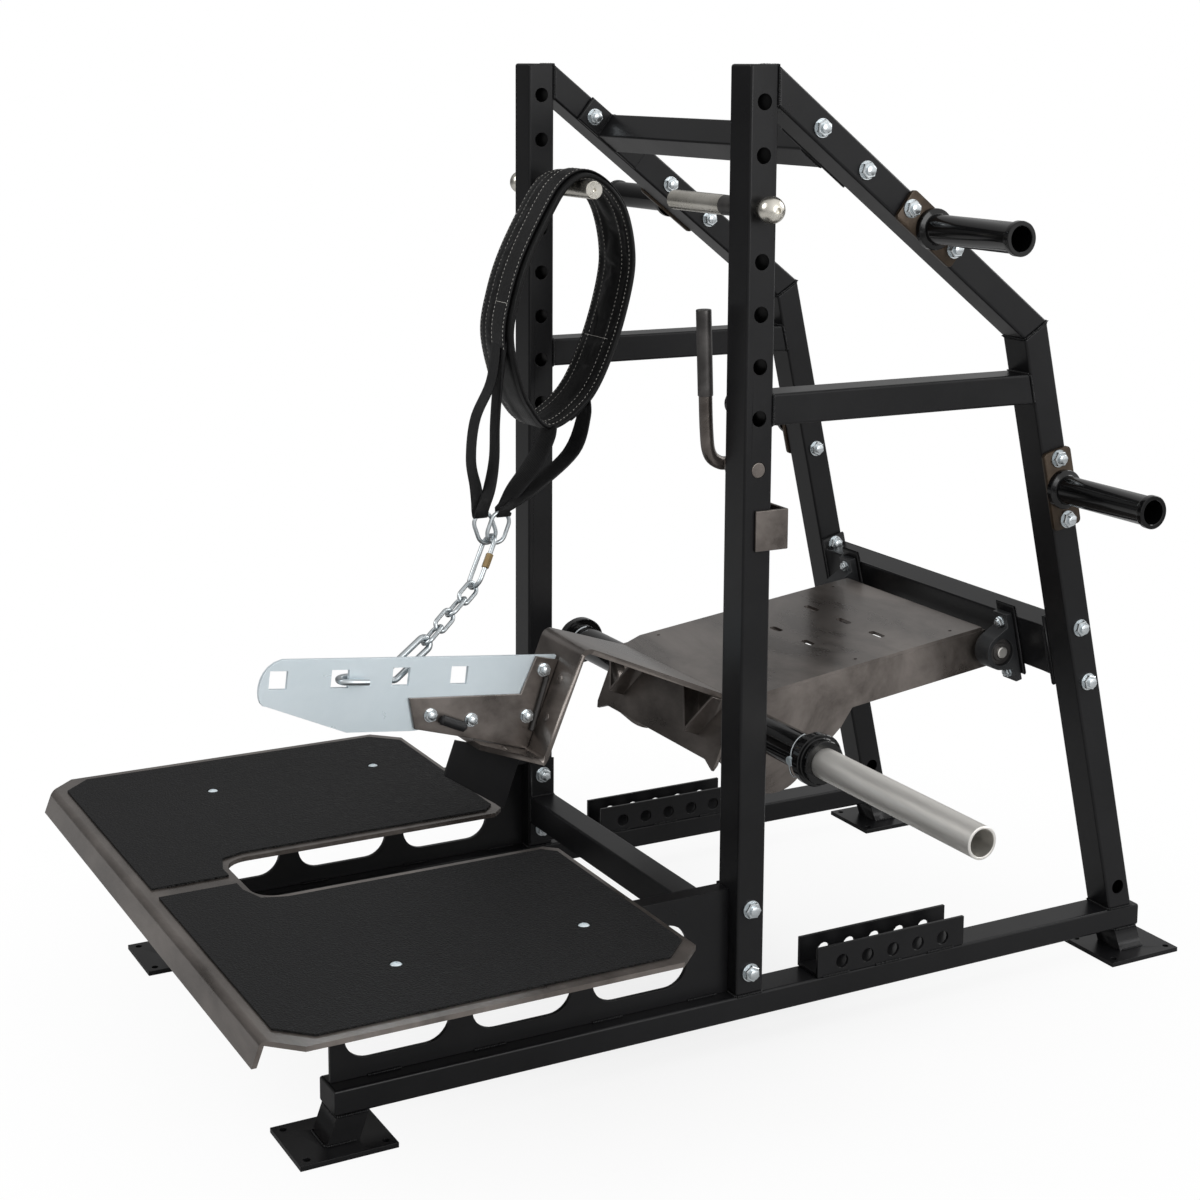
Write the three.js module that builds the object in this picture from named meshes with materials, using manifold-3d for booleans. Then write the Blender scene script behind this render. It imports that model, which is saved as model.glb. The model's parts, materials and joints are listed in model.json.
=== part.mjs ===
// Belt squat machine: a welded and bolted steel frame with a foot deck, a plate-loaded lever arm
// on two pillow blocks, a release lever, and a lifting belt that a short chain ties to the arm.
// Millimetres. X runs across the machine (+X is the user's right), Y from the deck to the rear,
// Z up. While the pieces are laid out, y = 0 is the front face of the uprights.

import * as THREE from 'three';
import { mergeVertices } from 'three/addons/utils/BufferGeometryUtils.js';
import Module from 'manifold-3d';

const wasm = await Module();
wasm.setup();

// Driving dimensions: fits and shared stock

const seat = 0.3;              // gap kept between pieces that touch
const overrun = 8;             // how far a cutting tool runs past the face it cuts
const tubeWidth = 60;          // frame tube, measured across the machine
const tubeDepth = 50;          // frame tube, measured along the machine
const tubeWall = 3;
const beamSide = 50;           // square tube of the upper and lower cross beams
const endPlateThickness = 8;
const topPlateLength = 150;     // end plates of the top beam
const rearPlateLength = 130;
const lowPlateLength = 162;

// Driving dimensions: base and side frames

const frameWidth = 812;        // over the outer faces of the side frames
const footHeight = 50;         // floor to the underside of a rail
const railHeight = 40;
const railFront = -676;
const railRear = 838;
const ventRadius = 5;          // drain hole in a closed rail
const uprightTop = 1556;
const kneeY = 581;             // outer corner where the sloping tube meets the rear leg
const kneeZ = 1144;
const legFootY = 822;          // rear edge of the rear leg on the rail
const braceTop = 1057;
const pegHoleRadius = 12.7;
const pegHolePitch = 80;
const pegHoleFirst = 56;       // top of the upright to the first hole
const pegHoleCount = 8;

const footPlateWidth = 130;
const footPlateLength = 150;
const footPlateThickness = 8;
const footHoleRadius = 5.5;
const footHoleInset = 15;
const riserLength = 50;        // footprint of a riser along the rail
const riserLean = 18;          // how far a riser's foot stands outwards of its head
const riserInset = 3;          // a riser's head stands this far inside the rail's end

// Driving dimensions: cross beams, measured to their centre lines

const topBeamY = 170;
const lowBeamTop = 192;
const lowPlateBottom = 100;
const rearBeamZ = 565;
const rearBeamHeight = 90;
const blockPlateThickness = 4; // welded pad behind each pillow block
const blockPlateWidth = 52;

// Driving dimensions: foot deck

const deckHeight = 270;
const deckSheet = 7.5;
const deckHalfWidth = 608;
const deckFront = -850;
const deckRear = -168;
const deckChamfer = 46;
const deckLip = 38;            // height of the turned-down front edge
const deckLipLean = 14;        // the lip's foot stands this far in front of its head
const slotHalfWidth = 92;
const slotFlare = 20;          // corner cut at the mouth of the slot
const slotFront = -678;
const slotCorner = 42;
const matThickness = 3;
const matInset = 22;
const matSlotInset = 17;       // bare strip beside the slot
const matGap = 20;             // half of the bare strip in front of the slot
const matHoleRadius = 10;
const matHoleX = 423;
const matHoleFrontY = -586;
const matHoleRearY = -282;
const sidePlateThickness = 8;
const sidePlateFlange = 30;
const windowBottom = 118;
const windowTop = 222;
const windowCorner = 38;
const windowFrontMargin = 22;  // front edge of a side plate to its first window
const windowRearMargin = 76;
const windowBar = 35;          // between two windows
const windowCount = 3;

// Driving dimensions: peg channels on the rails

const channelFront = 155;
const channelLength = 295;
const channelWidth = 60;
const channelHeight = 50;
const channelSheet = 6;
const channelHoleRadius = 12;
const channelHolePitch = 50.75;
const channelHoleCount = 5;
const channelHoleFirst = 48;
const channelHoleHeight = 20;

// Driving dimensions: plate storage horns

const hornRadius = 24;
const hornBore = 19;
const hornReach = 229;         // from the frame's outer face to the tip
const hornLipRadius = 27;
const hornLipLength = 12;
const hornFlangeRadius = 33;
const hornFlangeThickness = 6;
const hornPlateWidth = 57;
const hornPlateLength = 137;
const hornPlateThickness = 8;
const upperHornY = 336;
const lowerHornZ = 861;

// Driving dimensions: hand pegs

const pegRadius = 12.2;
const pegInnerX = 140;         // centre plane to the tip
const pegHandleRadius = 16;    // of the grip, up to the upright
const pegBallRadius = 21;
const pegBallOffset = 24;      // frame's outer face to the ball's centre
const pegHoleIndex = 2;        // the hole of the upright, counted from 0, that holds a peg

// Driving dimensions: pillow blocks and pivot shaft

const shaftRadius = 10;
const shaftProud = 2;          // past the outer face of a pillow block
const blockHeight = 33.3;      // mounting face to shaft centre
const blockDrop = 11.6;        // shaft centre below the rear beam's centre line
const blockWidth = 38;
const blockLength = 127;
const blockBase = 13;
const blockNeck = 40;          // shaft centre to the foot of the round housing
const blockCrown = 32;         // radius of the round housing
const blockGap = 12;           // side plate of the arm to a pillow block
const insertRadius = 23.5;
const insertWidth = 31;

// Driving dimensions: lever arm, laid out level and then tilted about its pivot

const armTilt = 7.2;           // degrees, down towards the front
const armHalfWidth = 210;      // over the side plates
const armTopZ = 36;            // top face above the pivot
const armRear = 4;             // rear edge of the top plate in front of the pivot
const armFront = 514;
const armTopSheet = 6;
const armSideSheet = 8;
const armSideRear = 4;         // rear edge of a side plate behind the pivot
const armSideDepth = 38;       // lower edge of the side plates below the pivot
const armStraight = 289;       // length of that lower edge
const armStepY = 315;
const armStepDepth = 66;
const armLobeY = 453;          // centre of the round lobe
const armLobeZ = -74;
const armLobeRadius = 72;
const armEndRadius = 24;       // rounded boss around the shaft
const armFrontHead = 510.4;     // rear face of the front plate under the top plate
const armFrontDrop = 97;       // the front plate's foot below the top plate
const armFrontLean = 53;       // the front plate's foot in front of its head
const armFrontTab = 12;
const armCornerCut = 46;
const armTabHole = 4;
// Plain slots of the top plate: place across, place along and length
const armSlotShares = [
  [-0.5, 0.3, 0.2], [0, 0.3, 0.2], [0.5, 0.3, 0.2], [-0.25, 0.52, 0.16], [0.25, 0.52, 0.16],
];
const armTabAcrossShares = [-0.88, 0.88];
const armTabAlongShares = [0.1, 0.5, 0.86];
const armRibX = 133;
const armRibHalfWidth = 51;
const armRibDepth = 74;
const armRibReach = 34;
const armRibSheet = 5;
const noseSheet = 9;
const noseBendY = 719;
const noseBendZ = 149;
const noseFootY = 816;
const noseFootZ = -26;
const noseTipY = 914;
const noseTipZ = 21;
const noseRootHalfWidth = 185;
const noseBendHalfWidth = 75;
const noseFootHalfWidth = 72;
const noseTipHalfWidth = 45;
const noseSlotLength = 26;
const noseSlotWidth = 9;
const noseSlotX = 24;

// Driving dimensions: tongue and what is bolted to it, in the arm's layout

const tongueThickness = 8;
const tongueRear = [-739, 121];
const tongueHead = [-1210, 234];
const tongueChin = [-1249, 166];
const tongueBelly = [-1124, 88];
const tongueHeel = [-1012, 60];
const tongueFoot = [-784, 34];
const tongueTipY = -1260;
const tongueHoleSide = 30;
const tongueHoleTurn = 14;     // degrees that the square holes are turned
const tongueHoles = [[-1223, 203], [-1122, 179], [-1019, 156], [-918, 132]];
// Corners of a square hole, as shares of half a turn
const squareCornerShares = [0.25, 0.75, 1.25, 1.75];
const bracketThickness = 6;
const bracketElbow = [-815, 73];
const bracketHead = [-778, 130];
const bracketEnd = [-1012, 118];
const bracketHeel = [-1010, 64];
const finThickness = 8;
const finRear = 824;           // along the underside of the nose's foot flange
const finFront = 938;
const finLow = [[-868, -119], [-966, -33]];

// Driving dimensions: plate sleeves, their sockets and pins

const sleeveY = 493;
const sleeveZ = -15.5;
const sleeveRadius = 25;
const sleeveBore = 20.5;
const sleeveInset = 40;        // side plate of the arm to the sleeve's inner end
const sleeveEndX = 834;
const socketRadius = 30;
const socketEndX = 400;
const socketCollarRadius = 43;
const socketCollarEndX = 418;
const socketStepRadius = 36;
const socketStepEndX = 432;
const hitchX = 385;
const hitchRadius = 4;
const hitchDepth = 22;         // shank inside the socket's outer surface
const hitchStand = 3;          // shank in front of that surface
const hitchHeadRadius = 8;
const hitchHeadLength = 6;

// Driving dimensions: release lever

const releaseHole = 7;         // counted as the peg holes are
const releasePinRadius = 12.2;
const releasePlate = 7.7;
const releaseEyeRadius = 22;
const saddleSheet = 5;
const saddleTop = 63;          // below the pin's centre
const saddleBottom = 127;
const saddleReach = 28;        // behind the upright's rear face
const saddleFront = 19;
const handleRadius = 12;
const handleTop = 242;         // above the pin's centre
const handleForward = 29;      // in front of the upright's front face, at the top
const handleBend = 21;         // in front of that face, at the bend
const handleBendTop = 44;

// Driving dimensions: belt, rings, chain and hook

const beltNearX = -165;
const beltWidth = 130;
const beltThickness = 14;
// The band's middle line in side view, from its top over the peg round by the rear
const beltRoute = [
  [25, 1364], [66, 1346], [100, 1302], [117, 1232], [112, 1166], [81, 1064], [33, 974],
  [-40, 926], [-84, 966], [-106, 1020], [-119, 1090], [-107, 1158], [-84, 1224], [-44, 1300],
  [-12, 1346],
];
const beltSamples = 44;
const strapWidth = 36;
const strapThickness = 4;
// Middle lines of the four strap strands, from the band down to the rings
const strapStrands = {
  frontOuter: [
    [-196, -128, 1080], [-196, -143, 1010], [-180, -183, 949], [-160, -201, 883],
    [-147, -198, 835], [-141.8, -196, 798],
  ],
  frontInner: [
    [-196, -121, 1066], [-188, -132, 990], [-172, -148, 940], [-150, -162, 883],
    [-131, -180, 835], [-126.2, -196, 798],
  ],
  rearInner: [
    [-178, -42, 926], [-172, -52, 905], [-158, -84, 865], [-142, -126, 828], [-133.8, -156, 798],
  ],
  rearOuter: [
    [-190, 33, 974], [-186, 30, 938], [-170, -4, 878], [-134, -100, 826], [-118.2, -156, 798],
  ],
};
// Width direction (x, y) at each of those points; its length is the share of the strap's width
// that shows there, as a strap gathers towards its ring
const strapWidthShares = {
  frontOuter: [[1, 0], [1, 0], [0.93, -0.37], [0.5, -0.8], [0.2, -0.7], [0, -0.4]],
  frontInner: [[1, 0], [1, 0], [0.93, -0.37], [0.5, -0.8], [0.2, -0.7], [0, -0.4]],
  rearInner: [[1, 0], [1, 0], [0.8, -0.5], [0.4, -0.7], [0, -0.4]],
  rearOuter: [[1, 0], [1, 0], [0.8, -0.5], [0.4, -0.7], [0, -0.4]],
};
const strapGather = 0.4;       // share of the width left where a strap turns in its ring
const strapTurnRadius = 5.8;   // inside of that turn
const strapSteps = 4;          // samples between two points of a strand
const ringWire = 3.5;
const ringHalfLength = 27;     // to the wire's middle line, as for the links
const ringHalfWidth = 17;
const ringFrontX = -134;
const ringRearX = -126;
const ringTopZ = 792;
const ringFrontY = -196;
const ringRearY = -156;
const ringMeetY = -177;        // both rings lean so that their feet meet near here
const quickWire = 4;
const quickHalfLength = 49;
const quickHalfWidth = 18;
const quickEnd = [-97, -236, 655];
const linkWire = 3.6;
const linkHalfLength = 22.6;
const linkHalfWidth = 11;
const linkCount = 4;
const chainEnd = [-23, -366, 590];
const hookWire = 5.5;
const hookEyeHalf = 11;
// Route of the hook's wire, from its eye behind the tongue through the second hole
const hookRoute = [
  [-17, -412, 563], [-17, -450, 568], [-16, -488, 573], [-9, -504, 573], [9, -504, 573],
  [16, -488, 572], [17, -462, 569],
];
const linkSlack = 0.6;         // gap between two links that hang in each other

// Colours and finishes

const finishes = {
  blackCoat: { color: 0x232325, roughness: 0.55, metalness: 0.25 },
  blackGloss: { color: 0x161617, roughness: 0.25, metalness: 0.2 },
  bareSteel: { color: 0x5d544e, roughness: 0.45, metalness: 0.7 },
  matGrip: { color: 0x1b1b1c, roughness: 0.95, metalness: 0 },
  zinc: { color: 0xc4d2da, roughness: 0.32, metalness: 0.85 },
  steel: { color: 0xb8b5b0, roughness: 0.28, metalness: 0.95 },
  casting: { color: 0x2a2b2d, roughness: 0.5, metalness: 0.4 },
  webbing: { color: 0x141416, roughness: 0.9, metalness: 0 },
};

const model = new THREE.Group();
const arm = new THREE.Group();

function addPiece(name, geometry, finish, parent = model) {
  const mesh = new THREE.Mesh(geometry, new THREE.MeshStandardMaterial(finishes[finish]));
  mesh.name = name;
  parent.add(mesh);
  return mesh;
}

// Solids: joining, cutting and the basic forms

function solidFrom(geometry) {
  const bare = new THREE.BufferGeometry();
  bare.setAttribute('position', geometry.getAttribute('position').clone());
  if (geometry.index) bare.setIndex(geometry.index.clone());
  const merged = mergeVertices(bare);
  const corners = merged.index.array;
  const faces = [];
  for (let i = 0; i < corners.length; i += 3) {
    const [a, b, c] = [corners[i], corners[i + 1], corners[i + 2]];
    if (a !== b && b !== c && a !== c) faces.push(a, b, c);
  }
  return new wasm.Manifold(new wasm.Mesh({
    numProp: 3,
    vertProperties: new Float32Array(merged.getAttribute('position').array),
    triVerts: new Uint32Array(faces),
  }));
}

function geometryFrom(solid) {
  const mesh = solid.getMesh();
  const geometry = new THREE.BufferGeometry();
  geometry.setAttribute('position', new THREE.BufferAttribute(mesh.vertProperties, 3));
  geometry.setIndex(new THREE.BufferAttribute(mesh.triVerts, 1));
  return geometry;
}

function cut(body, ...tools) {
  return geometryFrom(tools.reduce((left, tool) => left.subtract(solidFrom(tool)), solidFrom(body)));
}

function join(...pieces) {
  return geometryFrom(pieces.map(solidFrom).reduce((left, right) => left.add(right)));
}

function outline(points) {
  const shape = new THREE.Shape();
  points.forEach(([a, b], i) => (i ? shape.lineTo(a, b) : shape.moveTo(a, b)));
  shape.closePath();
  return shape;
}

function roundHole(a, b, radius) {
  const path = new THREE.Path();
  path.absarc(a, b, radius, 0, 2 * Math.PI, true);
  return path;
}

function roundedRectangle(low, high, corner, Kind = THREE.Path) {
  const [a0, b0] = low;
  const [a1, b1] = high;
  const path = new Kind();
  path.absarc(a0 + corner, b0 + corner, corner, Math.PI, 1.5 * Math.PI);
  path.absarc(a1 - corner, b0 + corner, corner, 1.5 * Math.PI, 2 * Math.PI);
  path.absarc(a1 - corner, b1 - corner, corner, 0, 0.5 * Math.PI);
  path.absarc(a0 + corner, b1 - corner, corner, 0.5 * Math.PI, Math.PI);
  path.closePath();
  return path;
}

function extruded(shape, depth, curveSegments = 12) {
  return new THREE.ExtrudeGeometry(shape, { depth, bevelEnabled: false, curveSegments });
}

const unitX = new THREE.Vector3(1, 0, 0);
const unitY = new THREE.Vector3(0, 1, 0);
const unitZ = new THREE.Vector3(0, 0, 1);
const fromSide = new THREE.Matrix4().makeBasis(unitY, unitZ, unitX);
const fromFront = new THREE.Matrix4().makeBasis(unitX, unitZ, unitY.clone().negate());

// A plate drawn in side view (y, z) that starts at x and runs towards +X
function sidePiece(shape, x, thickness, curveSegments) {
  return extruded(shape, thickness, curveSegments).applyMatrix4(fromSide).translate(x, 0, 0);
}

// A plate drawn in front view (x, z) whose rear face is at y
function frontPiece(shape, y, thickness, curveSegments) {
  return extruded(shape, thickness, curveSegments).applyMatrix4(fromFront).translate(0, y, 0);
}

function block(low, high) {
  const size = high.map((value, axis) => value - low[axis]);
  const middle = high.map((value, axis) => (value + low[axis]) / 2);
  return new THREE.BoxGeometry(...size).translate(...middle);
}

function rodX(radius, x0, x1, y, z, sides = 24) {
  const rod = new THREE.CylinderGeometry(radius, radius, Math.abs(x1 - x0), sides);
  return rod.rotateZ(Math.PI / 2).translate((x0 + x1) / 2, y, z);
}

function rodZ(radius, z0, z1, x, y, sides = 16) {
  const rod = new THREE.CylinderGeometry(radius, radius, Math.abs(z1 - z0), sides);
  return rod.rotateX(Math.PI / 2).translate(x, y, (z0 + z1) / 2);
}

// A round wire bent into a closed loop that lies in one plane
function wireLoop(centre, along, across, halfLength, halfWidth, wire, bends = 6, sides = 8) {
  const normal = new THREE.Vector3().crossVectors(along, across);
  const straight = halfLength - halfWidth;
  const points = [];
  const tangents = [];
  for (const end of [1, -1]) {
    for (let i = 0; i <= bends; i += 1) {
      const turn = (Math.PI * i) / bends - Math.PI / 2;
      const [c, s] = [Math.cos(turn) * end, Math.sin(turn) * end];
      const point = centre.clone().addScaledVector(along, straight * end + halfWidth * c);
      points.push(point.addScaledVector(across, halfWidth * s));
      tangents.push(along.clone().multiplyScalar(-s).addScaledVector(across, c));
    }
  }
  const corners = [];
  points.forEach((point, i) => {
    const outward = new THREE.Vector3().crossVectors(tangents[i], normal);
    for (let j = 0; j < sides; j += 1) {
      const turn = (2 * Math.PI * j) / sides;
      const corner = point.clone().addScaledVector(outward, wire * Math.cos(turn));
      corners.push(...corner.addScaledVector(normal, wire * Math.sin(turn)).toArray());
    }
  });
  const faces = [];
  for (let i = 0; i < points.length; i += 1) {
    const next = (i + 1) % points.length;
    for (let j = 0; j < sides; j += 1) {
      const side = (j + 1) % sides;
      const [a, b] = [i * sides + j, i * sides + side];
      const [c, d] = [next * sides + j, next * sides + side];
      faces.push(a, c, b, b, c, d);
    }
  }
  const geometry = new THREE.BufferGeometry();
  geometry.setAttribute('position', new THREE.Float32BufferAttribute(corners, 3));
  geometry.setIndex(faces);
  return geometry;
}

// Places that several pieces share

const outerX = frameWidth / 2;
const innerX = outerX - tubeWidth;
const railTop = footHeight + railHeight;
const slopeAngle = Math.atan2(uprightTop - kneeZ, kneeY - tubeDepth);
const legAngle = Math.atan2(legFootY - kneeY, kneeZ - railTop);
const legRearY = (z) => kneeY + (kneeZ - z) * Math.tan(legAngle);
const legFrontY = (z) => legRearY(z) - tubeDepth / Math.cos(legAngle);
const legMiddleY = (z) => (legRearY(z) + legFrontY(z)) / 2;
const slopeTopZ = (y) => uprightTop - (y - tubeDepth) * Math.tan(slopeAngle);
const slopeLowZ = (y) => slopeTopZ(y) - tubeDepth / Math.cos(slopeAngle);
const slopeMiddleZ = (y) => (slopeTopZ(y) + slopeLowZ(y)) / 2;
const uprightMiddleY = tubeDepth / 2;
const pegHoleZ = (index) => uprightTop - pegHoleFirst - index * pegHolePitch;
const blockX = armHalfWidth + blockGap + blockWidth / 2;
const shaftHalfLength = blockX + blockWidth / 2 + shaftProud;
const sleeveStartX = armHalfWidth + sleeveInset;
const mirrored = { left: -1, right: 1 };

// Lowest x of a piece of the given width whose outer face is at the given distance from centre
const startX = (side, outer, width) => (side > 0 ? outer - width : -outer);

// Base rails and feet

function railGeometry(side) {
  const x = startX(side, outerX, tubeWidth);
  const outside = block([x, railFront, footHeight], [x + tubeWidth, railRear, railTop]);
  const inside = block(
    [x + tubeWall, railFront + tubeWall, footHeight + tubeWall],
    [x + tubeWidth - tubeWall, railRear - tubeWall, railTop - tubeWall],
  );
  const ventY = (railFront + railRear) / 2;
  const vent = rodZ(ventRadius, footHeight - overrun, footHeight + overrun, x + tubeWidth / 2, ventY);
  return cut(outside, inside, vent);
}

// End is -1 at the front of the machine and 1 at the rear: the riser leans outwards
function footGeometry(side, end) {
  const x = side * (outerX - tubeWidth / 2);
  const railEnd = end < 0 ? railFront : railRear;
  const headFar = railEnd - end * riserInset;
  const headNear = headFar - end * riserLength;
  const top = footHeight - seat;
  const middleY = (headFar + headNear) / 2 + end * riserLean;
  const riser = (inset, low, high) => sidePiece(
    outline([
      [headFar - end * inset + (end * riserLean * (top - low)) / top, low],
      [headFar - end * inset + (end * riserLean * (top - high)) / top, high],
      [headNear + end * inset + (end * riserLean * (top - high)) / top, high],
      [headNear + end * inset + (end * riserLean * (top - low)) / top, low],
    ]),
    x - tubeWidth / 2 + inset,
    tubeWidth - 2 * inset,
  );
  const plate = block(
    [x - footPlateWidth / 2, middleY - footPlateLength / 2, 0],
    [x + footPlateWidth / 2, middleY + footPlateLength / 2, footPlateThickness],
  );
  const holes = [];
  for (const acrossSign of [-1, 1]) {
    for (const alongSign of [-1, 1]) {
      const holeX = x + acrossSign * (footPlateWidth / 2 - footHoleInset);
      const holeY = middleY + alongSign * (footPlateLength / 2 - footHoleInset);
      holes.push(rodZ(footHoleRadius, -overrun, footPlateThickness + overrun, holeX, holeY, 12));
    }
  }
  const body = join(plate, riser(0, footPlateThickness / 2, top));
  return cut(body, riser(tubeWall, footPlateThickness, top + overrun), ...holes);
}

// Side frames: upright, sloping tube, rear leg and brace

function uprightGeometry(side) {
  const x = startX(side, outerX, tubeWidth);
  const bottom = railTop + seat;
  const outside = block([x, 0, bottom], [x + tubeWidth, tubeDepth, uprightTop]);
  const inside = block(
    [x + tubeWall, tubeWall, bottom - overrun],
    [x + tubeWidth - tubeWall, tubeDepth - tubeWall, uprightTop - tubeWall],
  );
  const holes = [];
  for (let i = 0; i < pegHoleCount; i += 1) {
    holes.push(rodX(pegHoleRadius, x - overrun, x + tubeWidth + overrun, uprightMiddleY, pegHoleZ(i), 16));
  }
  return cut(outside, inside, ...holes);
}

// A hollow tube drawn in side view between two edge lines, open at both ends
function hollowSide(side, outer, inner) {
  const x = startX(side, outerX, tubeWidth);
  const solid = sidePiece(outline(outer), x, tubeWidth);
  return cut(solid, sidePiece(outline(inner), x + tubeWall, tubeWidth - 2 * tubeWall));
}

const slopeDirection = [Math.cos(slopeAngle), -Math.sin(slopeAngle)];
const slopeInward = [-Math.sin(slopeAngle), -Math.cos(slopeAngle)];
const legDirection = [Math.sin(legAngle), -Math.cos(legAngle)];
const legInward = [-Math.cos(legAngle), -Math.sin(legAngle)];
const kneeTurn = Math.PI / 2 - slopeAngle - legAngle;
const kneeMitre = tubeDepth * Math.tan(kneeTurn / 2);
const shifted = ([y, z], [dy, dz], distance) => [y + dy * distance, z + dz * distance];

function slopeGeometry(side) {
  const knee = shifted([kneeY, kneeZ], slopeDirection, -seat);
  const kneeInside = shifted(shifted(knee, slopeDirection, -kneeMitre), slopeInward, tubeDepth);
  const start = tubeDepth + seat;
  const outer = [[start, slopeTopZ(start)], [start, slopeLowZ(start)], kneeInside, knee];
  const head = [tubeDepth, slopeTopZ(tubeDepth)];
  const inner = [
    shifted(shifted(head, slopeInward, tubeWall), slopeDirection, -tubeDepth),
    shifted(shifted(head, slopeInward, tubeDepth - tubeWall), slopeDirection, -tubeDepth),
    shifted(shifted(knee, slopeInward, tubeDepth - tubeWall), slopeDirection, tubeDepth),
    shifted(shifted(knee, slopeInward, tubeWall), slopeDirection, tubeDepth),
  ];
  return hollowSide(side, outer, inner);
}

function legGeometry(side) {
  const knee = shifted([kneeY, kneeZ], legDirection, seat);
  const kneeInside = shifted(shifted(knee, legDirection, kneeMitre), legInward, tubeDepth);
  const bottom = railTop + seat;
  const outer = [knee, kneeInside, [legFrontY(bottom), bottom], [legRearY(bottom), bottom]];
  const foot = [legRearY(bottom), bottom];
  const inner = [
    shifted(shifted(knee, legInward, tubeWall), legDirection, -tubeDepth),
    shifted(shifted(knee, legInward, tubeDepth - tubeWall), legDirection, -tubeDepth),
    shifted(shifted(foot, legInward, tubeDepth - tubeWall), legDirection, tubeDepth),
    shifted(shifted(foot, legInward, tubeWall), legDirection, tubeDepth),
  ];
  return hollowSide(side, outer, inner);
}

function braceGeometry(side) {
  const start = tubeDepth + seat;
  const bottom = braceTop - tubeDepth;
  const end = (z) => legFrontY(z) - seat;
  const outer = [[start, bottom], [end(bottom), bottom], [end(braceTop), braceTop], [start, braceTop]];
  const [low, high] = [bottom + tubeWall, braceTop - tubeWall];
  const [front, rear] = [start - overrun, end(bottom) + overrun];
  return hollowSide(side, outer, [[front, low], [rear, low], [rear, high], [front, high]]);
}

for (const [name, side] of Object.entries(mirrored)) {
  addPiece(`rail_${name}`, railGeometry(side), 'blackCoat');
  addPiece(`foot_front_${name}`, footGeometry(side, -1), 'blackCoat');
  addPiece(`foot_rear_${name}`, footGeometry(side, 1), 'blackCoat');
  addPiece(`upright_${name}`, uprightGeometry(side), 'blackCoat');
  addPiece(`sloping_tube_${name}`, slopeGeometry(side), 'blackCoat');
  addPiece(`rear_leg_${name}`, legGeometry(side), 'blackCoat');
  addPiece(`side_brace_${name}`, braceGeometry(side), 'blackCoat');
}

// Cross beams: a tube between two end plates, drawn about its own centre and then turned

function crossBeam(depth, height, plateDepth, plateLow, plateHigh, ...pads) {
  const end = innerX - seat;
  const inside = end - endPlateThickness;
  const tube = block([-end, -depth / 2, -height / 2], [end, depth / 2, height / 2]);
  const plates = [-1, 1].map((side) => block(
    [startX(side, end, endPlateThickness), -plateDepth / 2, plateLow],
    [startX(side, end, endPlateThickness) + endPlateThickness, plateDepth / 2, plateHigh],
  ));
  const hollow = block(
    [-inside, -depth / 2 + tubeWall, -height / 2 + tubeWall],
    [inside, depth / 2 - tubeWall, height / 2 - tubeWall],
  );
  const vent = rodZ(ventRadius, -height / 2 - overrun, 0, 0, 0);
  return cut(join(tube, ...plates, ...pads), hollow, vent);
}

const topBeam = addPiece(
  'top_beam',
  crossBeam(beamSide, beamSide, tubeDepth, -topPlateLength / 2, topPlateLength / 2),
  'blackCoat',
);
topBeam.geometry.rotateX(Math.PI / 2);
topBeam.position.set(0, topBeamY, slopeMiddleZ(topBeamY));
topBeam.rotation.x = -slopeAngle;

// A pad stands on the rear beam's front face behind each pillow block
const rearPads = [-1, 1].map((side) => block(
  [
    side * blockX - blockPlateWidth / 2,
    -tubeDepth / 2 - blockPlateThickness,
    -rearPlateLength / 2,
  ],
  [side * blockX + blockPlateWidth / 2, -tubeDepth / 2 + tubeWall / 2, rearPlateLength / 2],
));
const rearBeam = addPiece(
  'rear_beam',
  crossBeam(
    tubeDepth,
    rearBeamHeight,
    tubeDepth,
    -rearPlateLength / 2,
    rearPlateLength / 2,
    ...rearPads,
  ),
  'blackCoat',
);
rearBeam.position.set(0, legMiddleY(rearBeamZ), rearBeamZ);
rearBeam.rotation.x = legAngle;

const lowBeam = addPiece(
  'low_beam',
  crossBeam(
    beamSide,
    beamSide,
    tubeDepth,
    lowPlateBottom - (lowBeamTop - beamSide / 2),
    lowPlateBottom + lowPlateLength - (lowBeamTop - beamSide / 2),
  ),
  'blackCoat',
);
lowBeam.position.set(0, uprightMiddleY, lowBeamTop - beamSide / 2);

// Foot deck, mats and side plates

const deckUnder = deckHeight - deckSheet;
const deckBend = deckFront + deckLipLean;

function deckOutline() {
  const corner = slotHalfWidth - slotCorner;
  const shape = new THREE.Shape();
  shape.moveTo(-deckHalfWidth + deckChamfer, deckBend);
  shape.lineTo(deckHalfWidth - deckChamfer, deckBend);
  shape.lineTo(deckHalfWidth, deckBend + deckChamfer);
  shape.lineTo(deckHalfWidth, deckRear - deckChamfer);
  shape.lineTo(deckHalfWidth - deckChamfer, deckRear);
  shape.lineTo(slotHalfWidth + slotFlare, deckRear);
  shape.lineTo(slotHalfWidth, deckRear - slotFlare);
  shape.absarc(corner, slotFront + slotCorner, slotCorner, 0, -Math.PI / 2, true);
  shape.absarc(-corner, slotFront + slotCorner, slotCorner, -Math.PI / 2, -Math.PI, true);
  shape.lineTo(-slotHalfWidth, deckRear - slotFlare);
  shape.lineTo(-slotHalfWidth - slotFlare, deckRear);
  shape.lineTo(-deckHalfWidth + deckChamfer, deckRear);
  shape.lineTo(-deckHalfWidth, deckRear - deckChamfer);
  shape.lineTo(-deckHalfWidth, deckBend + deckChamfer);
  shape.closePath();
  return shape;
}

const matHoles = [matHoleFrontY, matHoleRearY];

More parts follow.
